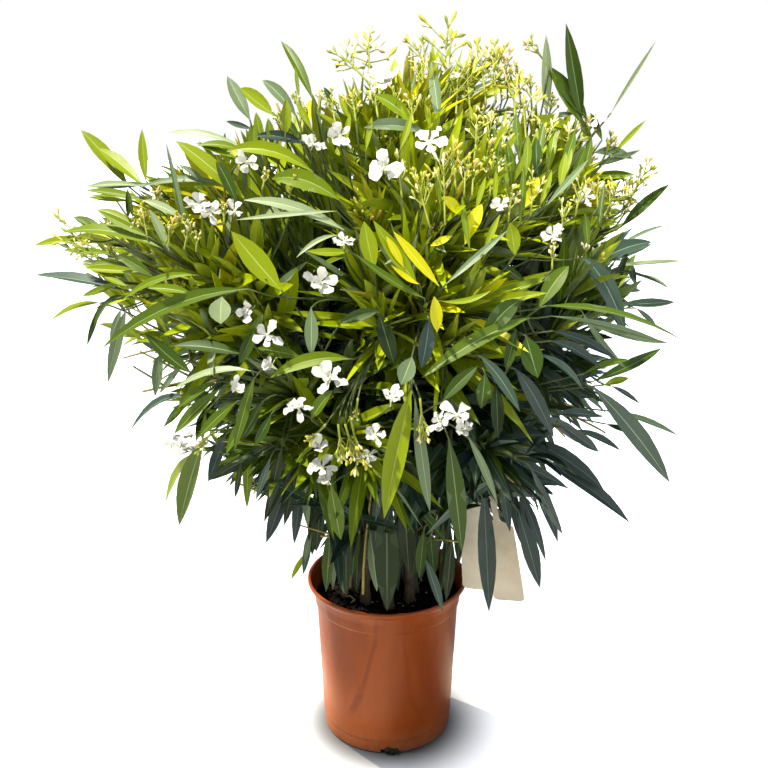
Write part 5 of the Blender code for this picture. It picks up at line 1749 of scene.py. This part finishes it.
def make_twigs(growth, replaced):
    """Leaders and side twigs in one joined piece, and the thin twigs of single growths in another."""
    made = []
    for paths, foot, tip, sides in (
        (growth.leaders, 0.0026, 0.0015, 7),
        (growth.twigs, 0.0019, 0.0012, 6),
        (growth.carriers, 0.0014, 0.0010, 5),
    ):
        share = np.linspace(0, 1, len(paths[0]))
        made.append(tubes(paths, np.tile(foot + share * (tip - foot), (len(paths), 1)), sides))
    bark = soft_finish("twig_skin", (0.20, 0.17, 0.022), (0.30, 0.25, 0.050), 0.6)
    make_piece("twigs", *gathered(made[:2]), (bark,), "bough_bark", replaced=replaced)
    green = soft_finish("thin_twig_skin", (0.050, 0.075, 0.016), (0.085, 0.115, 0.030), 0.6)
    make_piece("thin_twigs", *made[2], (green,), "bough_bark")


CYME_CHANCES = {  # that a leader and a side twig of each ring ends in a forking stalk
    "top": (0.90, 0.60),
    "shoulder": (0.95, 0.75),
    "upper": (0.65, 0.34),
    "side": (0.25, 0.06),
    "low": (0.0, 0.0),
}


def grow_blossom(blossom, growth):
    """Stalks of buds and flowers: those that the front view gives, then the rest by chance."""
    rng = blossom.rng
    for x, y, width, share in FRONT_FLOWERS:
        middle = seen_on_crown(x, y, share)
        size = width * pixel_size(middle) / FLOWER_WIDTH
        way = unit(unit(CAMERA_PLACE - middle) + 0.65 * UP + rng.normal(0, 0.32, 3))
        root = middle - TUBE_LENGTH * size * way
        blossom.flowers.append((root, way, size))
        growth.carry(root, way)
    foot, top = seen_at(*YOUNG_STEM_FOOT, YOUNG_STEM_DEPTH), seen_at(*YOUNG_STEM_TOP, YOUNG_STEM_DEPTH)
    growth.twigs.append(cubic((foot, foot + 0.08 * UP, top - 0.03 * UP, top), 7))
    for foot_x, foot_y, top_x, top_y, share in FRONT_CYMES:
        foot, top = seen_on_crown(foot_x, foot_y, share - 0.01), seen_on_crown(top_x, top_y, share)
        blossom.cyme(foot, unit(top - foot), 0.8 * np.linalg.norm(top - foot) / CYME_LENGTH, 0)
        growth.carry(foot, top - foot)
    for name, tip, way, is_leader in growth.tips:
        lead, side = CYME_CHANCES[name.split("_")[0]]
        way = unit(way + 0.55 * UP)
        top = tip + 1.2 * CYME_LENGTH * way
        fits = within_outline(top) and crown_share(top) < 1.14 and top[2] < HIGHEST_TOP
        if rng.random() < (lead if is_leader else side) and fits:
            open_ones = 0 if tip[1] < 0.08 else rng.choice((0, 0, 1, 2))
            blossom.cyme(tip, way, rng.uniform(0.45, 0.80), open_ones)


def grow_plant():
    """Limbs first, then every shoot's twigs, leaves and blossom."""
    stems, boughs, shoots = plan_plant()
    make_limbs(stems, boughs)
    make_label(boughs)
    rng = np.random.default_rng(SEED + 1)
    growth = Growth(rng)
    for shoot in shoots:
        growth.shoot(*shoot)
    for limb in (*stems.values(), *boughs.values()):
        growth.fill(limb)
    for limb in stems.values():
        growth.skirt(limb)
    seeds = kept_in_reach(joined_seeds(growth.leaves), rng)
    names = deal_tones(seeds, rng)
    single, single_names = growth.single_leaves()
    seeds, names = joined_seeds((seeds, single)), np.concatenate((names, single_names))
    for tone in TONES:
        chosen = picked(seeds, names == tone)
        put_blades(f"{tone}_leaves", chosen, LEAF_STATIONS, LEAF_OUTLINE, leaf_finishes(tone), "leaves")
    blossom = Blossom(rng)
    grow_blossom(blossom, growth)
    make_twigs(growth, ["foliage_" + name for name, *_ in shoots])
    make_blossom(blossom)


# ---- floor, light and camera -------------------------------------------------------------------

FLOOR_SIZE = 6.0
PAINTED_SHADOW_INNER = 0.082  # of the painted shadow round the pot's foot, which has faded out at the second radius
PAINTED_SHADOW_OUTER = 0.195


def aimed(kind, name, place, target, **settings):
    """A light at a place that looks at a target."""
    data = bpy.data.lights.new(name, kind)
    for key, value in settings.items():
        setattr(data, key, value)
    light = placed(name, data)
    light.location = place
    light.rotation_euler = (Vector(target) - Vector(place)).to_track_quat("-Z", "Y").to_euler()


def floor_finish():
    """A pale floor that glows towards the camera, and darkens softly round the pot's foot with a painted
    contact shadow.
    """
    material, tree, shader = new_finish("pale_floor", (0.62, 0.62, 0.62), 0.9)
    shader.inputs["Emission Strength"].default_value = 1.0
    seen = put(tree, "LightPath", {}).outputs["Is Camera Ray"]
    place = put(tree, "TexCoord", {}).outputs["Object"]
    shifted = put(tree, "Mapping", {"Vector": place, "Location": (0.0, 0.008, 0.0)}).outputs["Vector"]
    away = put(tree, "VectorMath", {0: shifted}, operation="LENGTH").outputs["Value"]
    # painted contact shadow: near the pot's foot the base colour is dark and the camera glow is off; to the
    # camera the floor's colour is cooler, cancelling the warm sun's tint
    share = ramp(tree, away, PAINTED_SHADOW_INNER, PAINTED_SHADOW_OUTER, kind="SMOOTHSTEP")
    far = blend(tree, seen, (0.62, 0.62, 0.62), (0.46, 0.53, 0.66))
    glow = blend(tree, maths(tree, "MULTIPLY", share, seen), (0.0, 0.0, 0.0), (0.92, 0.92, 0.92))
    base = blend(tree, share, (0.032, 0.036, 0.046), far)
    feed(tree, shader, {"Base Color": base, "Emission Color": glow})
    return material


def make_sky():
    """An even sky, a little blue as it lights the plant and plain white to the camera."""
    world = bpy.data.worlds.new("studio")
    bpy.context.scene.world = world
    world.use_nodes = True
    tree = world.node_tree
    shade = tree.nodes["Background"]
    feed(tree, shade, {"Color": (0.92, 0.96, 1.0), "Strength": 0.58})
    bright = put(tree, "Background", {"Color": (1.0, 1.0, 1.0), "Strength": 1.0})
    seen = put(tree, "LightPath", {}).outputs["Is Camera Ray"]
    mixed = put(tree, "MixShader", {0: seen, 1: shade.outputs[0], 2: bright.outputs[0]})
    feed(tree, tree.nodes["World Output"], {"Surface": mixed.outputs[0]})


def make_studio():
    """A pale floor under an even sky and a warm sun from the upper left.

    A narrow warm light falls on the pot from behind on the left, a soft one on the blossom from
    above in front, and a weak cool one fills the shade on the right.
    """
    corners = [(a * FLOOR_SIZE, b * FLOOR_SIZE, 0.0) for a, b in ((-1, -1), (1, -1), (1, 1), (-1, 1))]
    mesh = bpy.data.meshes.new("floor")
    mesh.from_pydata(corners, [], [(0, 1, 2, 3)])
    mesh.materials.append(floor_finish())
    floor = placed("floor", mesh)
    warm, low, soft, cool = (1.0, 0.95, 0.82), (1.0, 0.80, 0.52), (1.0, 0.98, 0.88), (0.88, 0.94, 1.0)
    aimed("SUN", "key", (-0.80, -0.16, 1.75), (0, 0, 0), energy=6.9, angle=math.radians(4), color=warm)
    narrow = {"energy": 470, "spot_size": math.radians(17), "spot_blend": 0.4, "shadow_soft_size": 0.03}
    aimed("SPOT", "side", (-1.05, 0.88, 1.15), (0, 0, 0.12), color=low, **narrow)
    wide = {"energy": 95, "spot_size": math.radians(27), "spot_blend": 1.0, "shadow_soft_size": 0.15}
    aimed("SPOT", "top", (0.40, -1.25, 2.10), (0.14, -0.05, 0.90), color=soft, **wide)
    aimed("AREA", "fill", (1.5, -1.5, 0.8), (0.1, 0, 0.35), energy=5, size=1.0, color=cool)
    make_sky()
    bpy.context.scene.view_settings.view_transform = "Standard"


def make_camera():
    """The front camera, a little above the crown and looking down at it."""
    data = bpy.data.cameras.new("front_camera")
    data.sensor_width = SENSOR
    data.lens = SENSOR * FOCAL_PIXELS / FRAME_PIXELS
    data.shift_x = (FRAME_PIXELS / 2 - AXIS_PIXEL) / FRAME_PIXELS
    camera = placed("front_camera", data)
    camera.location = CAMERA_PLACE
    camera.rotation_euler = (math.pi / 2 - CAMERA_PITCH, 0.0, 0.0)
    bpy.context.scene.camera = camera


make_camera()
make_studio()
make_pot()
make_compost()
make_drain_lump()
grow_plant()
